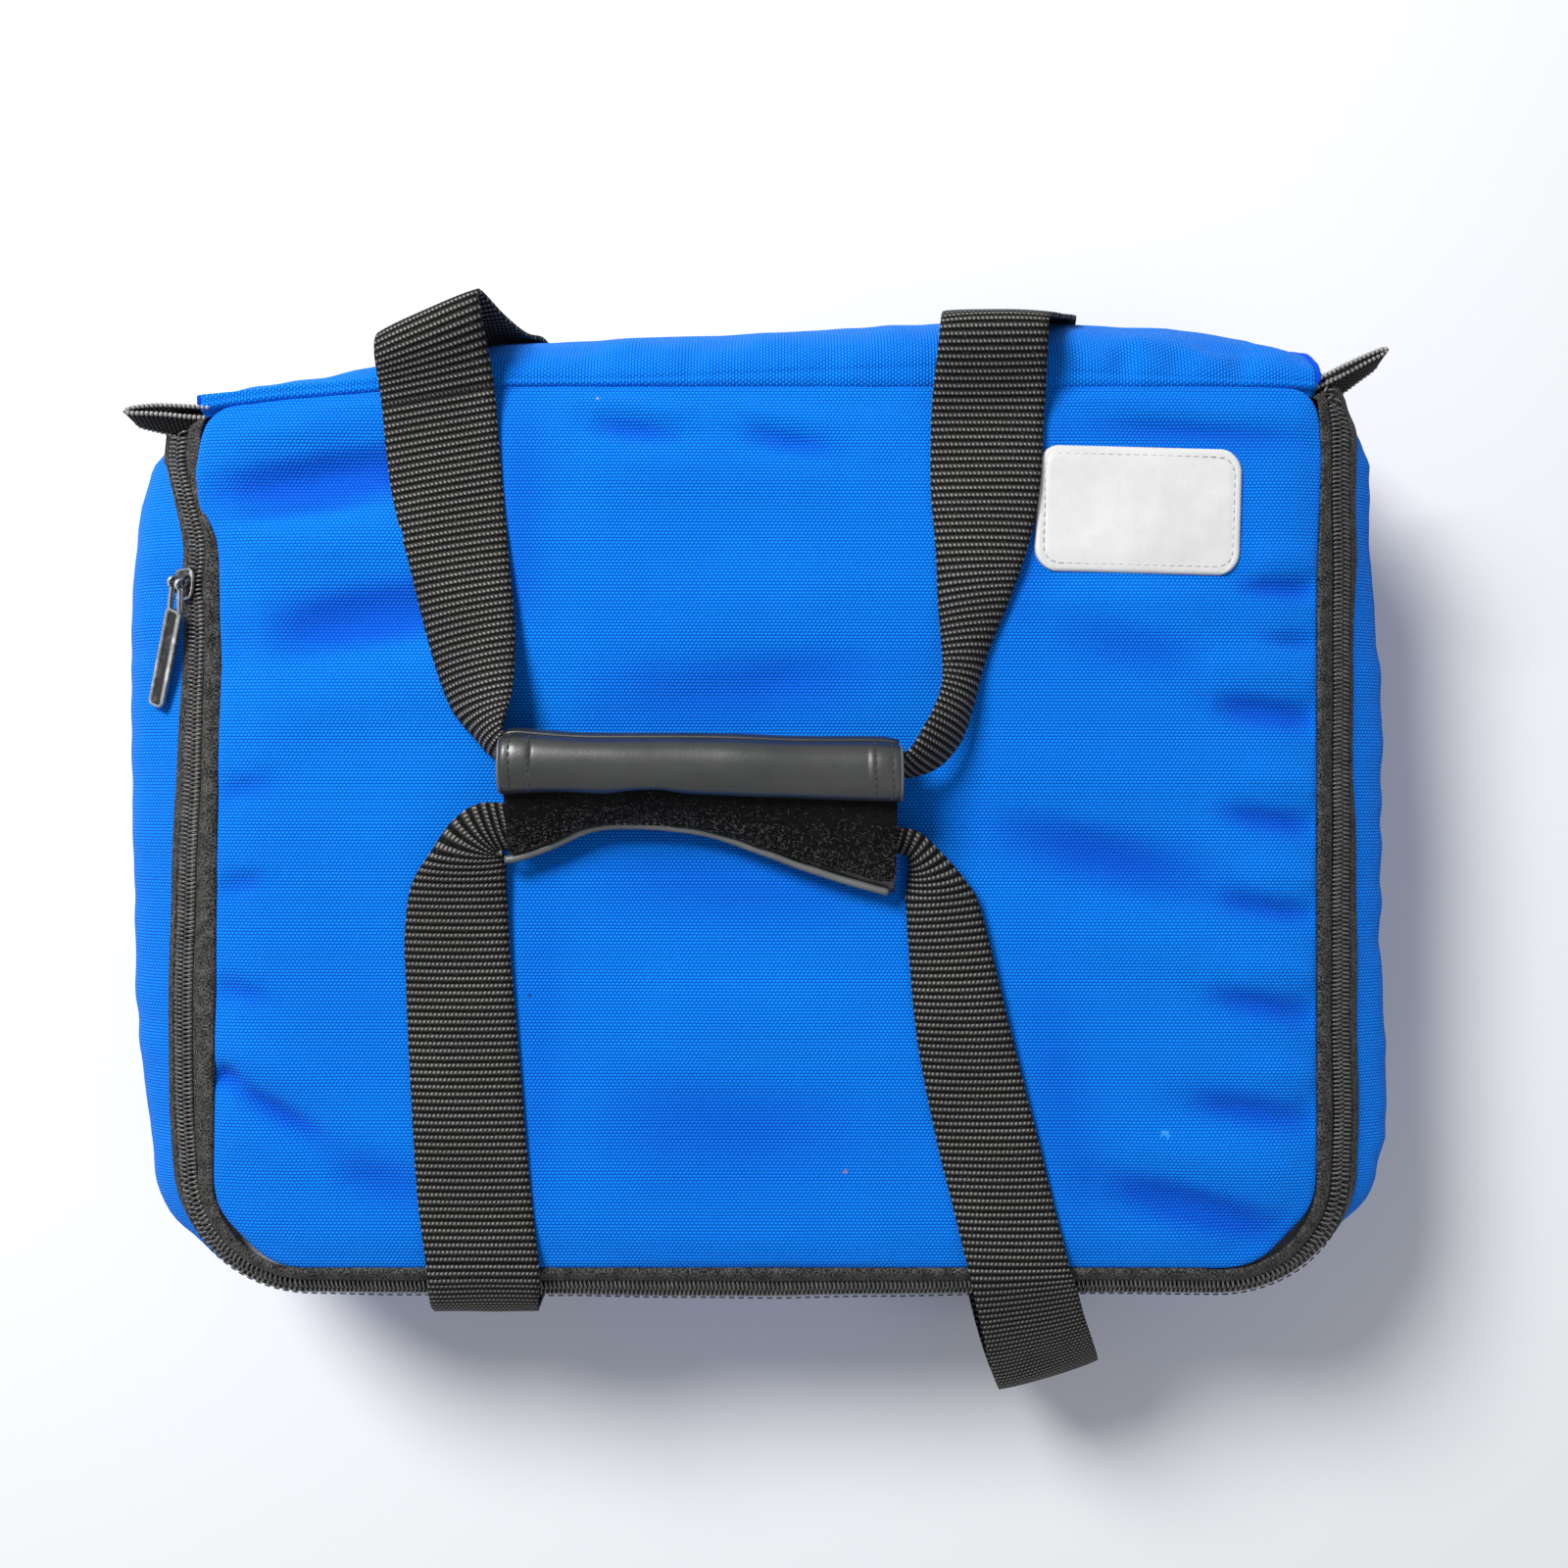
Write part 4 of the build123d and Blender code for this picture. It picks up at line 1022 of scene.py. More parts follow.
# Puckers across the spine: place along it, width and depth.
SPINE_PUCKERS = [
    (-172, 4, 1.2), (-150, 7, 1.4), (-60, 5, 1.0), (-25, 4, 1.1), (22, 5, 0.9), (123, 4.5, 2.4), (141, 6, 1.8),
    (163, 5, 2.4),
]


def spine_lines(x):
    """The lid's back lip and the crease behind it."""
    lip = float(read(BACK_LINE, x))
    return lip, max(float(read(CREASE_LINE, x)), lip + 2.2)


def spine_rows():
    """The back strip as rows from the lid's lip over its crease and down to the base."""
    rows = []
    for x in np.linspace(-192.2, 188.4, 192):
        out = read(SPINE_OUT, x)
        lip, crease = spine_lines(x)
        profile = [(lip - 1.8, 94.0), (lip - 0.4, 94.9), (lip + 0.3, 96.5), ((lip + crease) / 2, 97.2)]
        profile += [(crease, 96.95), (crease + 1.6, 97.1)]
        profile += [(crease + share * (out - crease), z) for share, z in SPINE_FALL]
        profile += [(BACK_LIP + share * (out - BACK_LIP), z) for share, z in SPINE_FOOT] + [(148.0, 2.6)]
        profile = smooth_run(profile, 4)
        rows.append(np.column_stack([np.full(len(profile), x), profile]))
    rows = np.array(rows)
    x, y, z = rows[..., 0], rows[..., 1], rows[..., 2]
    spots = np.stack([x, z, 0 * z], 2).reshape(-1, 3)
    broad = wobble(spots, 52.0, 0.8, 31).reshape(z.shape)
    crumple = wobble(spots * (1.0, 0.35, 1.0), 13.0, 1.0, 32).reshape(z.shape)
    right = np.clip((x - 105) / 30.0, 0, 1) * np.clip((190 - x) / 8.0, 0, 1)
    seam = np.exp(-((z - 92.0) / 9.0) ** 2)
    free = np.clip((96.0 - z) / 4.0, 0, 1) * np.clip((z - 3.0) / 5.0, 0, 1)
    push = free * (broad + crumple * (0.3 + seam * (0.4 + 1.4 * right)))
    for at, width, depth in SPINE_PUCKERS:
        near = np.exp(-(((x - at) / width) ** 2) - ((y - 160.0) / 6.0) ** 2)
        rows[..., 2] -= depth * near * np.clip((z - 80.0) / 10.0, 0, 1)
    rows[..., 1] += push
    rows[..., 2] += push * 0.5 * np.clip((z - 60) / 30, 0, 1)
    return rows


CLOTH = 1.1
spine_grid = spine_rows()
spine = sheet_of("spine_cloth", spine_grid, BLUE, CLOTH, 0.0)
dress(spine, "tub", "blue_fabric", "spine_fabric")

wall_grid = wall_rows()
gusset = sheet_of("gusset_cloth", wall_grid, BLUE, CLOTH, 0.0)
dress(gusset, "tub", "blue_fabric", "gusset_fabric", "wall_foam")

for end, side in ((0, "left"), (-1, "right")):
    edge = spine_grid[end]
    fall = edge[int(np.argmax(edge[:, 2])) + 2 : -3] + (0.35 * (1 if end else -1), 0.35, 0)
    corner_seam = tube(f"corner_seam_{side}", fall, 0.95, BLUE, 10)
    dress(corner_seam, "tub", "blue_fabric")

hinge_run = [(x, spine_lines(x)[0] - 1.0, 93.3 + 0.2 * sin(x / 17.0)) for x in np.linspace(-187.0, 187.0, 140)]
hinge_seam = tube("hinge_seam_roll", np.array(hinge_run), 0.7, BLUE, 10)
dress(hinge_seam, "tub", "blue_fabric", "hinge_piping")

SEWN_COLUMN = 6
gusset_top = evenly(wall_grid[:, SEWN_COLUMN], 1.0)
gusset_stitch = stitches("gusset_top_stitches", [gusset_top + (0, 0, 0.45)], BLUE_THREAD, 2.2, 1.0, 0.2)
dress(gusset_stitch, "tub", "blue_fabric")

# ---------------------------------------------------------------- base and lining

rim = outline(192.0, -149.4, 150.4, 33.0, 7.0, 4.0)
grid, inside = rounded_grid(192.0, -149.4, 150.4, 33.0, 7.0, 4.4)
lift = wobble(np.dstack([grid, 0 * inside]).reshape(-1, 3), 40.0, 0.22, 41).reshape(inside.shape)
base_rows = np.dstack([grid, 2.35 + lift * np.clip(inside / 15.0, 0, 1)])
base_cloth = sheet_of("base_cloth", base_rows, BLUE, 0.9, 0.0)
dress(base_cloth, "tub", "blue_fabric", "base_fabric", "base_board")

base_piping = tube("base_seam_piping", np.column_stack([rim, np.full(len(rim), 2.4)]), 1.0, BLUE, 8, closed=True)
dress(base_piping, "tub", "blue_fabric")

LINING_TURN = smooth_run(
    [(-1.6, 12.6), (-0.9, 14.5), (-1.2, 40.0), (-1.0, 66.0), (-0.8, 80.0), (0.2, 84.6), (4.0, 86.2), (9.5, 86.9)], 5
)
lining_rows = turned_edge(outline(184.0, -145.0, 146.0, 26.0, 26.0, 3.0), 158, -119, 120, LINING_TURN)
flat = lining_rows.reshape(-1, 3)
crumple = wobble(flat * (1.0, 1.0, 0.45), 17.0, 0.7, 51) + wobble(flat, 7.0, 0.25, 52)
crumple = crumple.reshape(lining_rows.shape[:2]) * np.clip((84.0 - lining_rows[..., 2]) / 8.0, 0, 1)
inward = -unit(lining_rows[..., :2])
lining_rows[..., :2] += inward * (np.abs(crumple) * 0.9)[..., None]
wall_film = sheet_of("wall_lining_film", lining_rows, FILM, 0.4, 0.0, closed=True)
dress(wall_film, "tub", "lining", "wall_lining")

base_film = film_panel("base_lining_film", 182.8, -143.8, 144.8, 24.8, 24.8, 12.6, 0.1, 61)
dress(base_film, "tub", "lining", "base_lining", "base_foam")

# ---------------------------------------------------------------- webbing

WEB_THICKNESS = 1.5
WEB_WIDTH = 38.0


def web_grid(stations, flip=1.0):
    """Rows across a band of webbing, from stations of left edge, right edge and rise of its middle."""
    runs = smooth_run([(*left, *right, rise) for left, right, rise in stations], 10)
    left, right, rise = runs[:, :3], runs[:, 3:6], runs[:, 6]
    middle = (left + right) / 2
    ahead = np.gradient(middle, axis=0)
    side = right - left
    normal = np.cross(ahead, side) * flip
    normal = unit(normal)
    rows = []
    for t in np.linspace(0, 1, 13):
        arch = (4 * t * (1 - t)) ** 0.8 * rise
        rows.append(left + side * t + normal * arch[:, None])
    rows = np.array(rows).transpose(1, 0, 2)
    spots = rows.reshape(-1, 3)
    ripple = wobble(spots, 21.0, 0.22, 71).reshape(rows.shape[:2])
    return rows + normal[:, None] * ripple[..., None]


def webbing(name, rows, cuts, nodes):
    """One run of webbing, cut across where it comes nearest to each cut: its wall, its bend and its leg."""
    middle = rows[:, rows.shape[1] // 2]
    run = lengths(middle)
    edges = [0, *(int(np.argmin(np.linalg.norm(middle - np.array(cut), axis=1))) for cut in cuts), len(rows) - 1]
    made = []
    for suffix, node, start, end in zip(("wall", "bend", "leg"), nodes, edges, edges[1:]):
        piece = sheet_of(f"{name}_{suffix}", rows[start : end + 1], WEB, WEB_THICKNESS, 0.0)
        layer = piece.data.uv_layers[0].data
        uv = np.empty(len(layer) * 2)
        layer.foreach_get("uv", uv)
        uv[1::2] += run[start] * MM
        layer.foreach_set("uv", uv)
        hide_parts(node)
        made.append(piece)
    return made


def level(x, y, z, width=WEB_WIDTH):
    """A station of webbing lying square to its run."""
    return (x - width / 2, y, z), (x + width / 2, y, z), 0.0


back_left = [
    level(-97, 140.2, 0.9),
    level(-97, 149.5, 0.9),
    level(-97, 157.5, 4.6),
    level(-97, 168.0, 22.0),
    level(-97.5, 175.2, 42.0),
    ((-118.0, 177.2, 60), (-80.5, 177.6, 60), 0.2),
    ((-121.5, 174.6, 74), (-84.5, 175.4, 75), 0.4),
    ((-125.6, 172.0, 88), (-89.0, 176.2, 92), 0.6),
    ((-129.6, 168.0, 102.5), (-94.4, 179.8, 110.5), 0.8),
    ((-130.4, 160.0, 106.0), (-93.6, 172.0, 112.5), 1.0),
    ((-129.5, 146, 100.8), (-91.5, 153.0, 102.5), 0.8),
    ((-126.3, 115.7, 99.8), (-89.2, 122.4, 99.8), 0.8),
    ((-119.8, 89.1, 99.8), (-86.6, 94.2, 100.6), 1.8),
    ((-112.9, 62.5, 100.2), (-84.0, 68.8, 104), 3.2),
    ((-105.4, 42.4, 103), (-83.2, 48.5, 111), 3.4),
    ((-96.8, 31.8, 105.5), (-84.8, 39.2, 116), 3.0),
    ((-90.5, 25.5, 107), (-85.0, 32.4, 118.5), 2.6),
    ((-80.0, 20.0, 107), (-76.0, 27.0, 119), 2.0),
]
back_right = [
    level(95, 140.2, 0.9),
    level(95, 149.5, 0.9),
    level(95, 157.5, 4.6),
    level(95, 171.0, 22.0),
    level(95, 181.0, 42.0),
    level(94.0, 184.6, 60.0),
    ((72.5, 181.6, 75), (110.0, 181.4, 75), 0.3),
    ((66.5, 178.0, 90), (103.5, 177.6, 90), 0.5),
    ((60.6, 174.6, 103), (97.0, 174.6, 103), 0.8),
    ((58.8, 169.6, 110.6), (94.8, 170.2, 110.4), 1.0),
    ((58.0, 162.0, 110.0), (94.4, 162.6, 109.4), 1.0),
    ((57.0, 150.0, 104.2), (94.8, 150.4, 103.6), 0.9),
    ((56.5, 138.0, 100.8), (94.4, 138.0, 100.8), 0.8),
    ((56.5, 115.7, 100.2), (93.1, 115.7, 101.2), 1.2),
    ((58.2, 95.8, 100.4), (88.8, 95.8, 101.2), 2.2),
    ((59.1, 75.7, 101.6), (82.8, 78.9, 101.4), 3.2),
    ((59.9, 58.7, 106), (74.8, 59.2, 101), 3.2),
    ((58.2, 46.5, 112), (69.7, 40.9, 102), 3.0),
    ((53.0, 35.6, 117.5), (65.0, 29.4, 104), 2.6),
    ((46.6, 26.4, 119.5), (56.0, 20.9, 106), 2.0),
    ((34.0, 24.0, 119.5), (38.0, 17.0, 107), 1.6),
]
front_left = [
    level(-97, -140.2, 0.9),
    level(-97, -149.5, 0.9),
    level(-97, -156.0, 4.6),
    level(-97, -164.4, 22.0),
    level(-98.6, -168.2, 50.0, 37.0),
    level(-98.8, -170.0, 68.0, 36.5),
    level(-97.6, -168.4, 81.0, 36.0),
    level(-96.4, -162.4, 92.0, 37.0),
    level(-95.2, -154.4, 98.2, 38.0),
    level(-95.5, -146.8, 100.2),
    ((-117.9, -116.9, 100.3), (-79.7, -116.9, 100.3), 0.5),
    ((-121.2, -50.5, 100.3), (-85.3, -50.5, 100.3), 1.4),
    ((-121.1, -30.5, 100.6), (-86.6, -30.5, 100.8), 2.0),
    ((-118.4, -17.1, 102.0), (-87.2, -17.2, 101.4), 3.0),
    ((-111.6, -7.0, 106.0), (-87.6, -8.6, 102.0), 3.6),
    ((-103.5, 3.6, 109.5), (-89.1, -7.8, 103.0), 3.0),
    ((-93.6, 9.6, 112.5), (-88.6, -5.7, 104.4), 2.2),
    ((-80.0, 9.0, 112.5), (-78.0, -4.7, 105.0), 1.6),
]
front_right = [
    level(95, -140.2, 0.9),
    level(95, -150.0, 0.9),
    level(95, -165.0, 3.0),
    ((79.5, -185.0, 11.0), (117.0, -181.0, 12.0), 0.5),
    ((83.0, -200.0, 26.0), (120.0, -192.0, 30.0), 0.8),
    ((86.0, -207.8, 44.0), (122.0, -196.0, 50.0), 1.0),
    ((84.6, -202.6, 62.0), (119.4, -189.6, 66.0), 1.0),
    ((79.4, -188.0, 77.5), (114.6, -178.0, 80.5), 0.8),
    ((75.4, -173.5, 89.6), (110.0, -166.6, 90.6), 0.8),
    ((71.4, -158.0, 98.0), (106.0, -154.4, 98.4), 0.8),
    ((68.8, -146.8, 100.2), (103.0, -146.7, 100.5), 0.9),
    ((63.9, -126.9, 100.2), (98.0, -126.8, 100.5), 1.0),
    ((57.5, -100.3, 100.3), (91.4, -100.2, 100.8), 1.4),
    ((51.5, -67.0, 100.8), (82.8, -66.8, 102.0), 2.2),
    ((48.5, -28.8, 101.4), (72.8, -27.0, 103.0), 3.4),
    ((48.5, -18.8, 102.0), (67.6, -16.9, 105.0), 3.6),
    ((49.4, -12.1, 102.6), (58.3, -6.2, 109.0), 3.0),
    ((47.6, -7.4, 103.6), (50.5, 0.4, 112.0), 2.2),
    ((36.0, -5.0, 104.0), (38.0, 2.0, 112.0), 1.6),
]

WEB_PARTS = ("strap", "bend", "leg")
for side, stations, x in (("left", back_left, -97), ("right", back_right, 95)):
    nodes = [f"back_{part}_{side}" for part in WEB_PARTS]
    cuts = [(x, 180, 75), (x - 14, 147, 102)]
    wall, bend, leg = webbing(f"back_webbing_{side}", web_grid(stations), cuts, nodes)
    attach(wall, "tub")
    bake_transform(bend)
    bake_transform(leg)
for side, stations, x in (("left", front_left, -97), ("right", front_right, 92)):
    nodes = [f"front_{part}_{side}" for part in WEB_PARTS]
    cuts = [(x, -176, 79), (x - 4, -148, 100)]
    wall, bend, leg = webbing(f"front_webbing_{side}", web_grid(stations, flip=-1.0), cuts, nodes)
    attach(wall, "tub")
    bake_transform(bend)
    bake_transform(leg)

for x, side in ((-97, "left"), (95, "right")):
    ends = np.linspace(-140.0, 140.0, 57)
    rows = np.array([[(x + u, y, 0.9) for u in np.linspace(-19, 19, 7)] for y in ends])
    base_web = sheet_of(f"base_webbing_{side}", rows, WEB, WEB_THICKNESS, 0.0)
    dress(base_web, "tub", "webbing", f"base_strap_{side}")
    boxes = []
    for middle in (-118.0, 118.0):
        a, b = middle - 16, middle + 16
        corners = [(x - 16, a), (x + 16, a), (x + 16, b), (x - 16, b), (x - 16, a)]
        boxes += [np.array([(*p, 0.12), (*q, 0.12)]) for p, q in zip(corners, corners[1:])]
        boxes += [np.array([(x - 16, a, 0.12), (x + 16, b, 0.12)]), np.array([(x + 16, a, 0.12), (x - 16, b, 0.12)])]
    box_stitch = stitches(f"base_webbing_stitches_{side}", boxes, BLACK_THREAD, 2.4, 0.8, 0.12)
    dress(box_stitch, "tub", "webbing")

# ---------------------------------------------------------------- end loops


def end_loop(name, side, spots, width, turn):
    """A ribbon folded on itself. spots run from the root out to the fold and back, in x, y, z."""
    path = smooth_run(spots, 8)
    lean = read(turn, np.linspace(0, 1, len(path)))
    rows = []
    for (x, y, z), angle in zip(path, lean):
        tilt = np.array([0.0, sin(radians(angle)), cos(radians(angle))]) * width / 2
        rows.append([np.array((x, y, z)) + tilt * u for u in np.linspace(-1, 1, 7)])
    loop = sheet_of(name, rows, RIBBON, 0.9, 0.0)
    dress(loop, "tub", "ribbon", f"end_loop_{side}")
    edges = [evenly(np.array([row[k] for row in rows]), 0.4) for k in (0, -1)]
    # Light grey edge threads: a painted highlight on the ribbon's edges.
    selvedge = stitches(f"end_loop_{side}_selvedge", edges, SELVEDGE_HIGHLIGHT, 1.35, 0.25, 0.85)
    dress(selvedge, "tub", "ribbon")


end_loop("end_loop_left_ribbon", "left", [
    (-189.0, 144.0, 92.4), (-197.0, 144.6, 92.2), (-206.0, 145.0, 92.0), (-213.0, 144.6, 91.8), (-217.2, 143.8, 91.8),
    (-218.4, 142.6, 91.8), (-216.8, 141.4, 91.8), (-211.0, 140.6, 91.8), (-204.0, 139.6, 91.8), (-197.0, 138.6, 91.6),
    (-191.0, 138.0, 91.4),
], 9.6, [(0.0, 4.0), (0.45, 4.0), (0.55, 10.0), (0.8, 34.0), (1.0, 44.0)])
end_loop("end_loop_right_ribbon", "right", [
    (186.4, 152.6, 91.2), (193.0, 156.0, 92.0), (200.0, 159.4, 92.6), (207.0, 162.4, 92.8), (211.2, 163.9, 92.8),
    (212.4, 163.2, 92.4), (211.4, 161.6, 92.0), (206.0, 158.2, 91.6), (200.0, 154.4, 91.2), (193.0, 150.6, 90.8),
    (187.4, 147.8, 90.8),
], 9.6, [(0.0, 4.0), (0.45, 6.0), (0.55, 14.0), (0.8, 36.0), (1.0, 44.0)])

# ---------------------------------------------------------------- blank patch

PATCH_MIDDLE = np.array([127.0, 109.0])
PATCH_X, PATCH_Y, PATCH_RADIUS = 35.0, 21.5, 8.0
PATCH_SEAM = 2.9
turn = radians(-1.5)
TURN = np.array([[cos(turn), -sin(turn)], [sin(turn), cos(turn)]])
# The patch in section: how far in from its edge, and height.
PATCH_SHAPE = [
    (0.0, 98.8), (0.25, 99.75), (0.9, 100.15), (2.0, 100.3), (2.5, 100.22), (2.9, 100.06), (3.3, 100.22),
    (4.4, 100.4),
    (8.0, 100.5), (40.0, 100.5),
]
grid, inside = rounded_grid(PATCH_X, -PATCH_Y, PATCH_Y, PATCH_RADIUS, PATCH_RADIUS, 0.6)
flat = grid @ TURN.T + PATCH_MIDDLE
rows = np.dstack([flat, read(PATCH_SHAPE, inside)])
flat = rows.reshape(-1, 3) * (1, 1, 0)
lift = wobble(flat, 24.0, 0.22, 81) + wobble(flat, 7.0, 0.05, 82)
rows[..., 2] += lift.reshape(inside.shape) * np.clip(inside / 4.0, 0, 1)
patch = sheet_of("blank_patch_face", rows, PATCH, 0.9)
dress(patch, "lid", "patch", "blank_patch")
sewn_y, sewn_radius = PATCH_Y - PATCH_SEAM, PATCH_RADIUS - PATCH_SEAM
border = outline(PATCH_X - PATCH_SEAM, -sewn_y, sewn_y, sewn_radius, sewn_radius, 1.0)
border = np.vstack([border, border[:1]]) @ TURN.T + PATCH_MIDDLE
border = np.column_stack([border, np.full(len(border), 100.3)])
patch_stitch = stitches("patch_stitches", [border], GREY_THREAD, 2.1, 0.8, 0.26)
dress(patch_stitch, "lid", "patch")

# ---------------------------------------------------------------- slider and pull

# The slider's own frame: its middle on the coils, the way along them, and the ways out of and up the slope.
SLOPE = radians(30)
SLIDER_Y = 84.5
ON_COILS = np.array([-LID["x"] - EDGE_GAP - COIL_MIDDLE * cos(SLOPE), SLIDER_Y, BAND_TOP - COIL_MIDDLE * 0.5])
ALONG = np.array([0.0, -1.0, 0.0])
OUT = np.array([-0.5, 0.0, cos(SLOPE)])
ACROSS = np.cross(OUT, ALONG)


def on_zip(points):
    """Points about the slider, x along the zip to the front, y up the slope, z out of it, put in place."""
    points = np.asarray(points, float)
    return ON_COILS + points[:, :1] * ALONG + points[:, 1:2] * ACROSS + points[:, 2:] * OUT


def plate(outline_points, low, high, soft=0.35):
    """A flat plate with rounded rims, from its outline and two heights."""
    ring = np.array(outline_points, float)
    middle = ring.mean(0)
    levels = [(soft, low), (soft * 0.3, low + soft * 0.3), (0, low + soft)]
    levels += [(0, high - soft), (soft * 0.3, high - soft * 0.3), (soft, high)]
    away = unit(ring - middle)
    points = [(*p, z) for inset, z in levels for p in ring - away * inset]
    return np.array(points), ring_faces(len(ring), len(levels))


def mirrored(half):
    """An outline made from its upper half, from one end to the other."""
    half = smooth_run(half, 5)
    return np.vstack([half, half[1:-1][::-1] * (1, -1)])


def metal_piece(name, shapes, body, *nodes, material=None):
    """Several closed shapes in the slider's own frame, made into one metal piece."""
    points, faces, first = [], [], 0
    for p, f in shapes:
        points.append(p)
        faces += [tuple(i + first for i in face) for face in f]
        first += len(p)
    obj = object_of(name, on_zip(np.vstack(points)), faces, material or METAL)
    obj.data.set_sharp_from_angle(angle=radians(38))
    dress(obj, body, "slider_metal", *nodes)


def dome(ring, levels):
    """A closed form from an outline, drawn in by each level's share and set at its height."""
    ring = np.array(ring, float)
    middle = ring.mean(0)
    points = [(*p, z) for share, z in levels for p in middle + (ring - middle) * share]
    return np.array(points), ring_faces(len(ring), len(levels))


SLIDER_HALF = [(-5.6, 0.0), (-5.4, 2.9), (-4.0, 4.25), (-1.0, 4.45), (2.0, 4.0), (4.0, 3.35), (5.3, 2.3), (5.6, 0.0)]
slider_shape = mirrored(SLIDER_HALF)
flanges = []
for way in (-1, 1):
    edge = [(-4.4, way * 3.75), (-1.0, way * 3.95), (2.4, way * 3.5), (3.9, way * 2.95)]
    inner = [(x, y - way * 0.75) for x, y in edge][::-1]
    flanges.append(plate(edge + inner, 0.5, 1.5, 0.1))
    flanges.append(plate(edge + inner, -2.3, -1.4, 0.1))
DOME = [(0.94, 1.3), (1.0, 1.7), (1.0, 2.1), (0.95, 2.6), (0.84, 3.0), (0.6, 3.3), (0.3, 3.4)]
WEDGE = [(-2.8, -0.35), (-0.4, -0.6), (2.6, -0.2), (2.6, 0.2), (-0.4, 0.6), (-2.8, 0.35)]
metal_piece(
    "slider_shell",
    [dome(slider_shape, DOME), plate(slider_shape, -3.3, -2.1), plate(WEDGE, -2.2, 1.4, 0.05)] + flanges,
    "slider", "slider_body",
)


def swept(path, half_wide, half_thick):
    """A bar of rounded section along a run in the slider's x-z plane."""
    path = smooth_run(path, 6)
    ahead = np.gradient(path, axis=0)
    ahead = unit(ahead)
    normal = np.stack([-ahead[:, 1], ahead[:, 0]], 1)
    points, n = [], 12
    for (x, z), (nx, nz) in zip(path, normal):
        for k in range(n):
            a = 2 * pi * k / n
            u = half_wide * np.sign(cos(a)) * abs(cos(a)) ** 0.6
            v = half_thick * np.sign(sin(a)) * abs(sin(a)) ** 0.6
            points.append((x + nx * v, u, z + nz * v))
    return np.array(points), ring_faces(n, len(path))


def round_bar(x, z, radius, reach):
    """A bar across the slider with eased ends, middled on x and z."""
    points, n = [], 14
    for y, r in ((-reach, radius * 0.8), (-reach + 0.15, radius), (reach - 0.15, radius), (reach, radius * 0.8)):
        points += [(x + r * cos(2 * pi * k / n), y, z + r * sin(2 * pi * k / n)) for k in range(n)]
    return np.array(points), ring_faces(n, 4)


# The height of the bridge's bar, where the pull hangs.
BAR_HIGH = 5.6
ARCH = [(-2.6, 2.3), (-2.2, 3.6), (-1.2, 5.6), (0.0, 6.3), (1.2, 5.6), (2.2, 3.6), (2.6, 2.3)]
bridge_shapes = [round_bar(0, BAR_HIGH, 0.85, 3.6)]
for way in (-1, 1):
    post, faces = swept(ARCH, 0.5, 0.55)
    bridge_shapes.append((post + (0, way * 3.1, 0), faces))
metal_piece("slider_bridge_arch", bridge_shapes, "slider", "slider_bridge")
# The slider's rim in pale metal: a painted reflection.
rim = [(0.93, 2.5), (0.97, 2.75), (0.93, 3.0), (0.85, 3.05), (0.82, 2.8)]
rim_points, rim_faces = dome(slider_shape, rim)
count = len(slider_shape)
rim_faces = rim_faces[2:] + [(4 * count + i, 4 * count + (i + 1) % count, (i + 1) % count, i) for i in range(count)]
metal_piece("slider_shell_rim", [(rim_points, rim_faces)], "slider", material=REFLECTION_PAINTED_METAL)

SKEW, PITCH = radians(-20.0), radians(3.0)


def on_pull(points):
    """Points about the pull's ring, x along its length, turned and set on the bridge."""
    x, y, z = np.asarray(points, float).T
    x, z = x * cos(PITCH) + z * sin(PITCH), -x * sin(PITCH) + z * cos(PITCH)
    x, y = x * cos(SKEW) - y * sin(SKEW), x * sin(SKEW) + y * cos(SKEW)
    return np.column_stack([x, y, z + BAR_HIGH])


PULL_LENGTH, PULL_HALF, PULL_CORNER = 17.6, 3.6, 2.0
pull_ring = outline(PULL_LENGTH, -PULL_HALF, PULL_HALF, PULL_CORNER, PULL_CORNER, 0.8) + (26.2, 1.6)


def drawn_in(inset):
    """The pull's outline, drawn in towards its middle line."""
    middle = np.column_stack([np.clip(pull_ring[:, 0], 11.5, 40.5), np.full(len(pull_ring), 1.6)])
    away = pull_ring - middle
    far = np.linalg.norm(away, axis=1)[:, None]
    return pull_ring - away / far * np.minimum(inset, far * 0.8)


def pull_rim():
    """The raised rim of the pull's grip, in pale metal that paints the reflection on its bevel: a closed ring."""
    upper = [(1.35, 0.3), (1.15, 0.95), (0.75, 1.12), (0.3, 1.0), (0.0, 0.4)]
    levels = upper + [(inset, -z) for inset, z in upper[::-1]]
    points = [(*p, z) for inset, z in levels for p in drawn_in(inset)]
    n, k = len(pull_ring), len(levels)
    faces = []
    for r in range(k):
        a, b = r * n, (r + 1) % k * n
        faces += [(a + (i + 1) % n, a + i, b + i, b + (i + 1) % n) for i in range(n)]
    return on_pull(points), faces


def pull_field():
    """The dark, sunken field inside the rim."""
    points = [(*p, z) for inset, z in ((1.1, -0.45), (1.1, 0.45)) for p in drawn_in(inset)]
    return on_pull(points), ring_faces(len(pull_ring), 2)


def pull_prong(way):
    """One of the pull's two prongs, hooked round the bridge's bar."""
    path = [(1.75 * cos(a), 1.75 * sin(a)) for a in np.radians(np.linspace(18, 342, 15))]
    path = [(10.6, 0.3), (6.0, 0.5)] + path + [(6.0, -0.5), (10.6, -0.3)]
    points, faces = swept(path, 0.62, 0.5)
    onward = np.clip(points[:, 0] / 9.0, 0, 1)
    points[:, 1] += way * (1.9 + onward * 0.7) + 1.6 * onward
    return on_pull(points), faces


metal_piece("pull_grip", [pull_field()], "pull", "pull_tab")
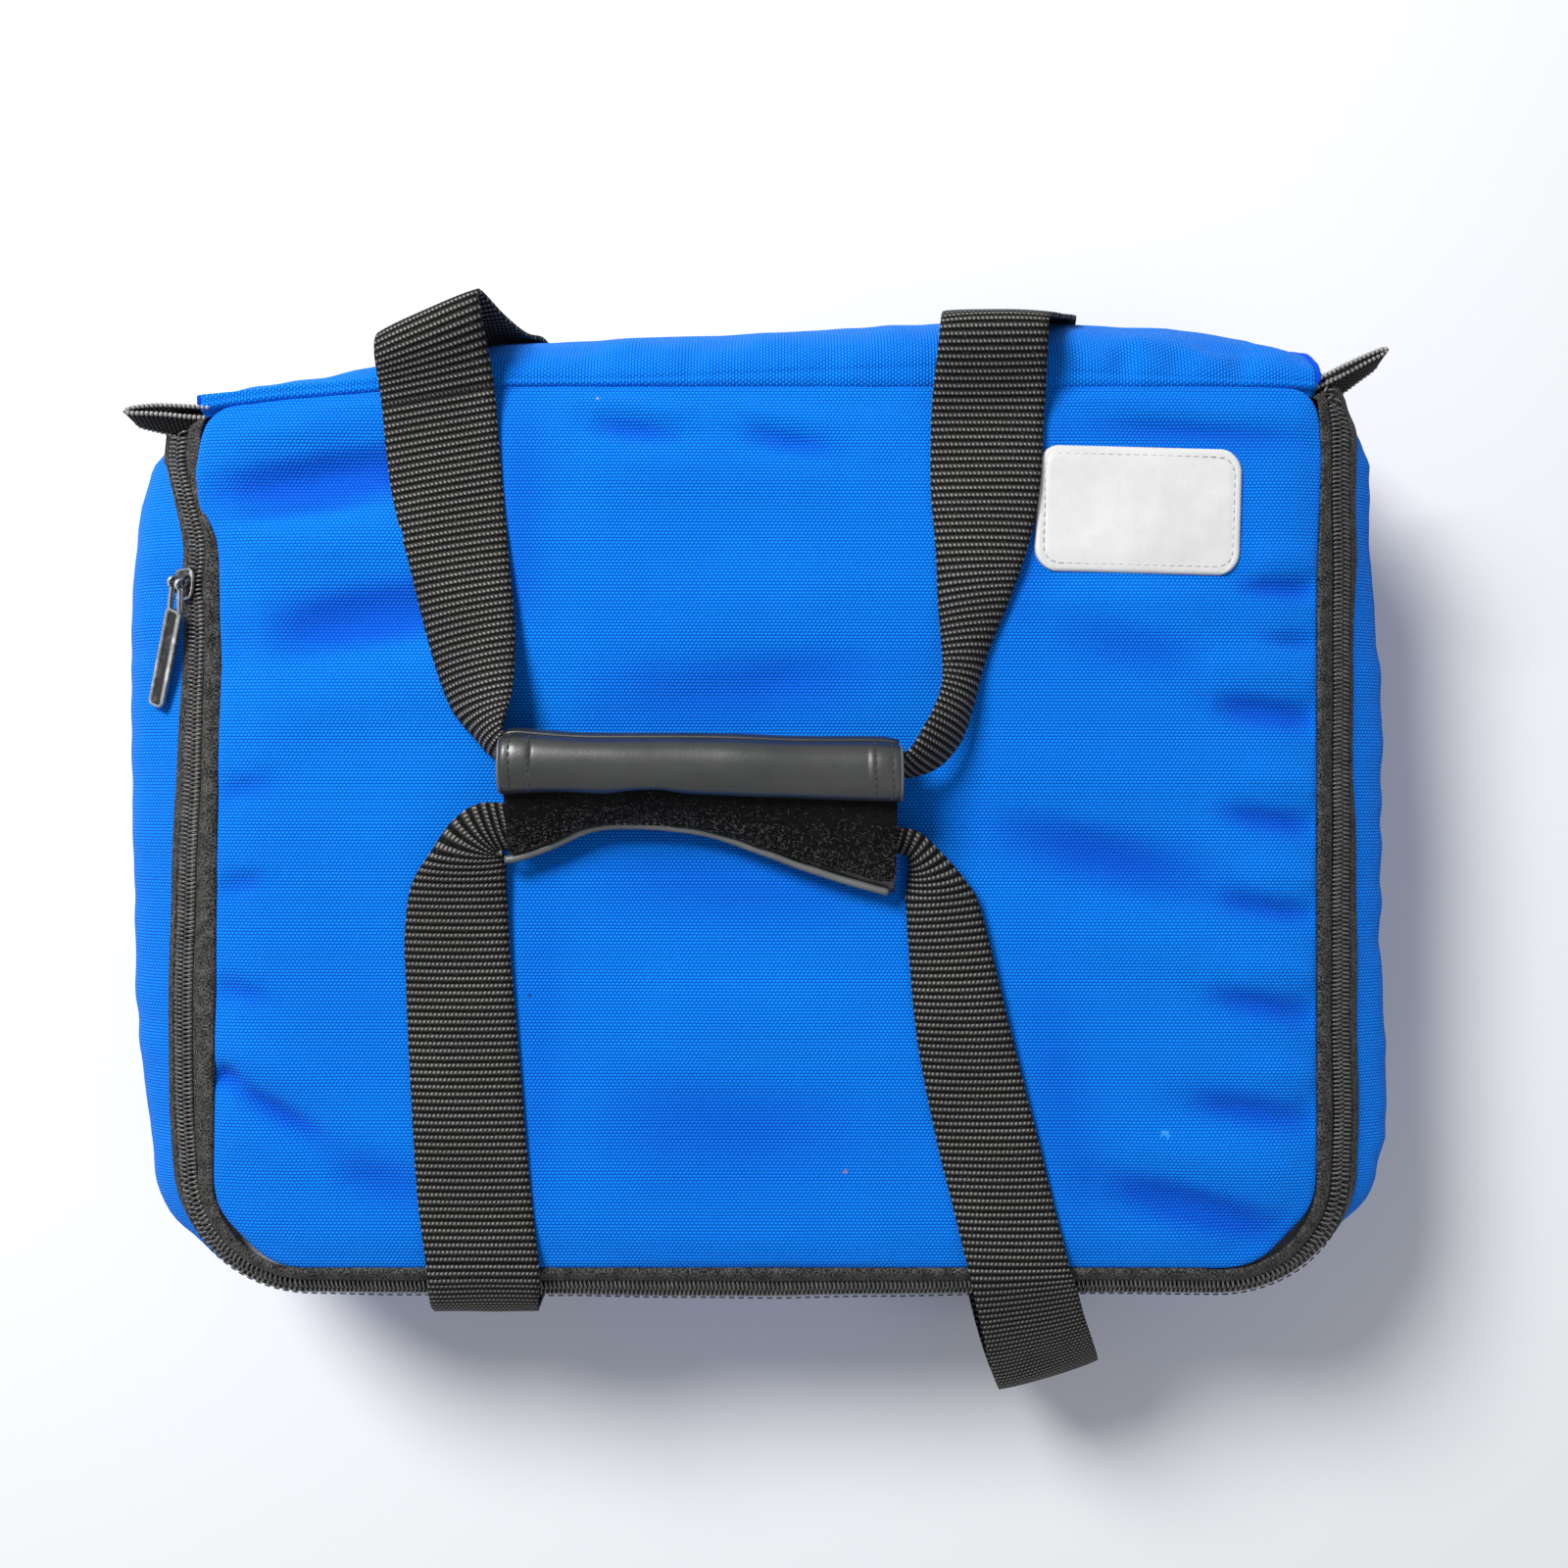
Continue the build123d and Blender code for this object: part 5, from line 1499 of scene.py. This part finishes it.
# The pull's rim and prongs in pale metal: a painted reflection.
metal_piece("pull_rim_and_prongs", [pull_rim(), pull_prong(-1), pull_prong(1)], "pull", material=REFLECTION_PAINTED_METAL)

# ---------------------------------------------------------------- grip wrap

GRIP_LEFT, GRIP_RIGHT = -85.6, 44.6
WRAP_SEAMS = (-82.2, -75.8, 36.4, 41.8)
# The wrap's rear fold, the wavy front edge of its flap, and the rim of the front cover, by place along them.
FLAP_REAR = [
    (-86.2, 29.9), (-81.9, 31.2), (-73.6, 30.6), (-56.9, 29.6), (-19.3, 29.5), (12.2, 28.5), (36.6, 28.4),
    (44.6, 27.4),
]
FLAP_FRONT = [
    (-86.2, 13.8), (-66.5, 14.6), (-51.7, 14.1), (-41.1, 15.8), (-33.1, 16.1), (-25.4, 14.2), (-10.6, 13.4),
    (15.0, 12.4), (44.6, 11.4),
]
RIM_LINE = [
    (-88.0, -9.5), (-83.3, -9.0), (-72.3, -5.4), (-60.3, 0.1), (-50.1, 1.9), (-34.0, 1.5), (-17.9, -0.9),
    (-2.8, -6.0),
    (12.3, -11.6), (27.4, -16.5), (41.5, -20.4),
]


def line_at(table, x):
    """A table read off at x along a smooth curve through it."""
    return float(read(smooth_run(table, 6), x))


def flap_rows():
    """The smooth top of the wrap, from its rear fold over to its wavy front edge."""
    rows = []
    for x in np.concatenate([
        np.linspace(GRIP_LEFT, GRIP_LEFT + 14, 36), np.linspace(GRIP_LEFT + 14, GRIP_RIGHT - 14, 60)[1:-1],
        np.linspace(GRIP_RIGHT - 14, GRIP_RIGHT, 36),
    ]):
        rear, front = line_at(FLAP_REAR, x), line_at(FLAP_FRONT, x)
        end = min(x - GRIP_LEFT, GRIP_RIGHT - x)
        rise = 0.45 * np.clip((10.5 - end) / 1.2, 0, 1) - 0.9 * np.exp(-((end - 0.2) / 0.7) ** 2)
        for seam in WRAP_SEAMS:
            rise -= 0.16 * np.exp(-(((x - seam) / 1.1) ** 2))
        calm = np.interp(x, (-86.0, 45.0), (14.6, 11.4))
        angle = np.radians(np.linspace(-6.0, 174.0, 34))
        y = (rear + calm) / 2 + ((rear - calm) / 2 + 0.6) * np.sign(np.cos(angle)) * np.abs(np.cos(angle)) ** 0.87
        y += (front - calm) * np.clip((angle - 2.0) / 1.0, 0, 1) ** 2
        z = 119.5 + 6.5 * np.sign(np.sin(angle)) * np.abs(np.sin(angle)) ** 0.87
        rows.append(np.column_stack([np.full(34, x), y, z + rise]))
    rows = np.array(rows)
    rows[..., 2] += wobble(rows.reshape(-1, 3) * (1, 1, 0), 24.0, 0.3, 91).reshape(rows.shape[:2])
    return rows


flap_grid = flap_rows()
flap = sheet_of("wrap_flap_vinyl", flap_grid, VINYL, 1.5, 0.0)
dress(flap, "wrap_cover", "vinyl", "wrap_flap")

hook_rows = []
for x in np.linspace(GRIP_LEFT + 2.0, GRIP_RIGHT - 2.0, 40):
    front = line_at(FLAP_FRONT, x)
    hook_rows.append([(x, front + back, z) for back, z in ((5.8, 122.9), (3.8, 122.0), (2.0, 120.9), (1.4, 120.2))])
hooks = sheet_of("wrap_hook_strip", hook_rows, PILE, 1.0, 0.0)
dress(hooks, "wrap_cover", "hook_and_loop", "hook_strip")

seam_rows = []
for x in WRAP_SEAMS:
    row = flap_grid[int(np.argmin(np.abs(flap_grid[:, 0, 0] - x)))]
    ahead = np.gradient(row[:, 1:], axis=0)
    ahead = unit(ahead)
    raised = row + 0.92 * np.column_stack([np.zeros(len(row)), ahead[:, 1], -ahead[:, 0]])
    seam_rows.append(raised[4:-3])
wrap_seams = stitches("wrap_end_stitches", seam_rows, BLACK_THREAD, 1.8, 0.7, 0.4)
dress(wrap_seams, "wrap_cover", "vinyl")
# The flap's rolled ends are in the lighter vinyl: a painted highlight.
for side, end in (("left", 0), ("right", -1)):
    roll = tube(f"wrap_flap_{side}_hem", flap_grid[end, 1:-1] - (0, 0, 0.1), 0.85, VINYL_EDGE_HIGHLIGHT, 8)
    dress(roll, "wrap_cover", "vinyl")

sleeve_rows = []
for x in np.linspace(GRIP_LEFT + 0.4, GRIP_RIGHT - 0.4, 60):
    rear = line_at(FLAP_REAR, x)
    profile = [
        (rear + 1.4, 119.0), (rear + 2.6, 116.0), (rear + 2.4, 110.0), (rear - 1.0, 105.0), (22.5, 102.6),
        (17.0, 103.2), (12.8, 106.2), (11.2, 110.4),
    ]
    sleeve_rows.append([(x, y, z) for y, z in smooth_run(profile, 4)])
sleeve = sheet_of("wrap_sleeve_vinyl", sleeve_rows, VINYL, 1.4, 0.0)
dress(sleeve, "back_handle", "vinyl", "wrap_sleeve")


def bundle(name, left, right, y, z, deep, high, body, node):
    """Webbing rolled up inside the wrap: a spiral of it, seen only at its ends."""
    rows = []
    turns = np.linspace(0, 2 * pi * 2.6, 90)
    for x in np.linspace(left, right, 46):
        shift = 0.5 * sin(x / 17.0)
        ring = []
        for a in turns:
            r = 0.34 + 0.66 * a / turns[-1]
            ring.append((x, y + deep / 2 * r * cos(a) + shift, z + high / 2 * r * sin(a)))
        rows.append(ring)
    roll = sheet_of(name, rows, WEB, 1.1, 0.0)
    dress(roll, body, "webbing", node)


bundle("back_grip_roll", -84.5, 43.0, 22.2, 112.6, 15.5, 15.5, "back_handle", "back_grip")
bundle("front_grip_roll", -84.5, 43.0, 6.2, 105.6, 8.0, 7.6, "front_handle", "front_grip")


def strip_rows(low_share, high_share, lift, steps):
    """The loop-faced strip, falling from under the flap to the rim."""
    rows = []
    for x in np.linspace(GRIP_LEFT + 0.6, GRIP_RIGHT - 0.8, 110):
        top, rim = line_at(FLAP_FRONT, x) + 0.6, line_at(RIM_LINE, min(x, 41.0))
        t = np.linspace(low_share, high_share, steps)
        rows.append(np.column_stack([np.full(steps, x), top + (rim - top) * t, 118.4 - 3.6 * t - 8.6 * t * t + lift]))
    return np.array(rows)


cover = sheet_of("front_cover_vinyl", strip_rows(0.0, 1.0, -1.6, 16), VINYL, 1.1, 0.0)
dress(cover, "front_handle", "vinyl", "front_cover")
pile_grid = strip_rows(0.0, 0.88, 0.1, 40)
pile_grid[..., 2] += wobble(pile_grid.reshape(-1, 3), 2.6, 0.3, 95).reshape(pile_grid.shape[:2])
pile_grid[:, -3:, 1] += 0.3 * np.sin(pile_grid[:, -3:, 0] / 2.1)
pile = sheet_of("front_loop_strip_pile", pile_grid, PILE, 1.6, 0.0)
dress(pile, "front_handle", "hook_and_loop", "loop_strip")


def fibres(name, grid, count, seed):
    """Short bent fibres standing out of a pile, more of them near its lower edge."""
    draw = np.random.default_rng(seed)
    points, faces, thread = [], [], ring_faces(3, 3)
    rows, wide = grid.shape[:2]
    for _ in range(count):
        i = int(draw.integers(0, rows))
        j = int(wide * draw.random() ** 0.3)
        root = grid[i, min(j, wide - 1)] + (draw.normal(0, 0.6), draw.normal(0, 0.3), 0.75)
        way = np.array([draw.normal(), draw.normal(), 0.25 + 0.4 * draw.random()])
        way /= np.linalg.norm(way)
        reach = 0.7 + 0.9 * draw.random()
        bend = np.array([draw.normal(), draw.normal(), 0.0]) * 0.25
        side = np.cross(way, (0.0, 0.0, 1.0))
        side /= max(np.linalg.norm(side), 1e-6)
        up = np.cross(side, way)
        first = len(points)
        for t, r in ((0.0, 0.05), (0.5, 0.055), (1.0, 0.025)):
            middle = root + way * reach * t + bend * t * t
            points += [middle + r * (side * cos(a) + up * sin(a)) for a in (0.0, 2.1, 4.2)]
        faces += [[i + first for i in face] for face in thread]
    return object_of(name, points, faces, FIBRE)


FIBRE_COUNT = 3000
fuzz = fibres("front_loop_strip_fibres", pile_grid, FIBRE_COUNT, 7)
dress(fuzz, "front_handle", "hook_and_loop")

# The cover's rolled rim is in the lighter vinyl: a painted highlight.
rim_run = np.linspace(GRIP_LEFT - 1.2, 41.5, 110)
rim_path = [(x, line_at(RIM_LINE, x) + 0.1, 106.4 + 0.2 * sin(x / 9.0)) for x in rim_run]
rim_fold = tube("front_cover_rim", rim_path, 1.35, VINYL_EDGE_HIGHLIGHT, 12)
dress(rim_fold, "front_handle", "vinyl")

# ---------------------------------------------------------------- stage, light and camera


# What the camera sees behind the object, and where the floor fades into it, in metres from the middle.
PALE = (0.9, 0.9, 0.9, 1.0)
FADE_FROM, FADE_TO = 0.4, 1.0


def seen_ray(tree):
    """1 for rays from the camera, off gloss or through glass, and 0 for the light on the object."""
    path = tree.nodes.new("ShaderNodeLightPath")
    last = path.outputs["Is Camera Ray"]
    for name in ("Is Glossy Ray", "Is Transmission Ray"):
        either = tree.nodes.new("ShaderNodeMath")
        either.operation = "MAXIMUM"
        tree.links.new(last, either.inputs[0])
        tree.links.new(path.outputs[name], either.inputs[1])
        last = either.outputs[0]
    return last


def stage_material():
    """The floor's pale, faintly clouded surface."""
    n = Nodes("pale_floor", Roughness=0.9)
    n.finish(n.mix(n.noise(2.0, 3.0, "Object"), (0.80, 0.80, 0.80), (0.84, 0.84, 0.84)))
    # Far from the object the floor runs out into the plain colour behind it, for what sees it and not for its light.
    spot = n.add("ShaderNodeNewGeometry").outputs["Position"]
    far = n.add("ShaderNodeVectorMath", {0: spot}, operation="LENGTH").outputs["Value"]
    reach = {"Value": far, "From Min": FADE_FROM, "From Max": FADE_TO}
    ease = n.add("ShaderNodeMapRange", reach, interpolation_type="SMOOTHSTEP").outputs["Result"]
    plain = n.add("ShaderNodeEmission", {"Color": PALE}).outputs[0]
    share = n.math("MULTIPLY", ease, seen_ray(n.tree))
    mixed = n.add("ShaderNodeMixShader", {0: share, 1: n.shader.outputs[0], 2: plain}).outputs[0]
    n.tree.links.new(mixed, n.tree.nodes["Material Output"].inputs["Surface"])
    return n.material


bpy.ops.mesh.primitive_plane_add(size=6.0, location=(0, 0, -0.0004))
floor = bpy.context.object
floor.name = "floor"
floor.data.materials.append(stage_material())


def lamp(name, where, aim, size, power):
    """A round soft lamp."""
    light = bpy.data.lights.new(name, "AREA")
    light.shape = "DISK"
    light.size = size
    light.energy = power
    obj = bpy.data.objects.new(name, light)
    bpy.context.scene.collection.objects.link(obj)
    obj.location = where
    obj.rotation_euler = (Vector(aim) - Vector(where)).to_track_quat("-Z", "Y").to_euler()


lamp("key", (-0.85, 1.0, 1.35), (0, 0, 0.05), 0.7, 44.0)
lamp("fill", (0.9, -0.8, 1.5), (0, 0, 0.05), 1.4, 4.0)
world = bpy.data.worlds.new("world")
bpy.context.scene.world = world
world.use_nodes = True
tree = world.node_tree
soft = tree.nodes["Background"]
soft.inputs[0].default_value = (0.84, 0.88, 1.0, 1.0)
soft.inputs[1].default_value = 0.32
# What the camera, gloss and glass see behind the stage is plain and pale; it lights nothing.
behind = tree.nodes.new("ShaderNodeBackground")
choose = tree.nodes.new("ShaderNodeMixShader")
tree.links.new(seen_ray(tree), choose.inputs[0])
tree.links.new(soft.outputs[0], choose.inputs[1])
tree.links.new(behind.outputs[0], choose.inputs[2])
tree.links.new(choose.outputs[0], tree.nodes["World Output"].inputs["Surface"])
behind.inputs[0].default_value = PALE

# The lens and the camera's place, fitted to the photograph's view from straight above.
LENS, CAMERA_SPOT = 36.09, (6.7, 16.0, 633.0)
camera_data = bpy.data.cameras.new("camera")
camera_data.lens = LENS
camera_data.sensor_width = 36.0
camera_data.clip_start = 0.02
camera = bpy.data.objects.new("camera", camera_data)
camera.location = P(*CAMERA_SPOT)
bpy.context.scene.collection.objects.link(camera)
bpy.context.scene.camera = camera
bpy.context.scene.view_settings.view_transform = "Standard"
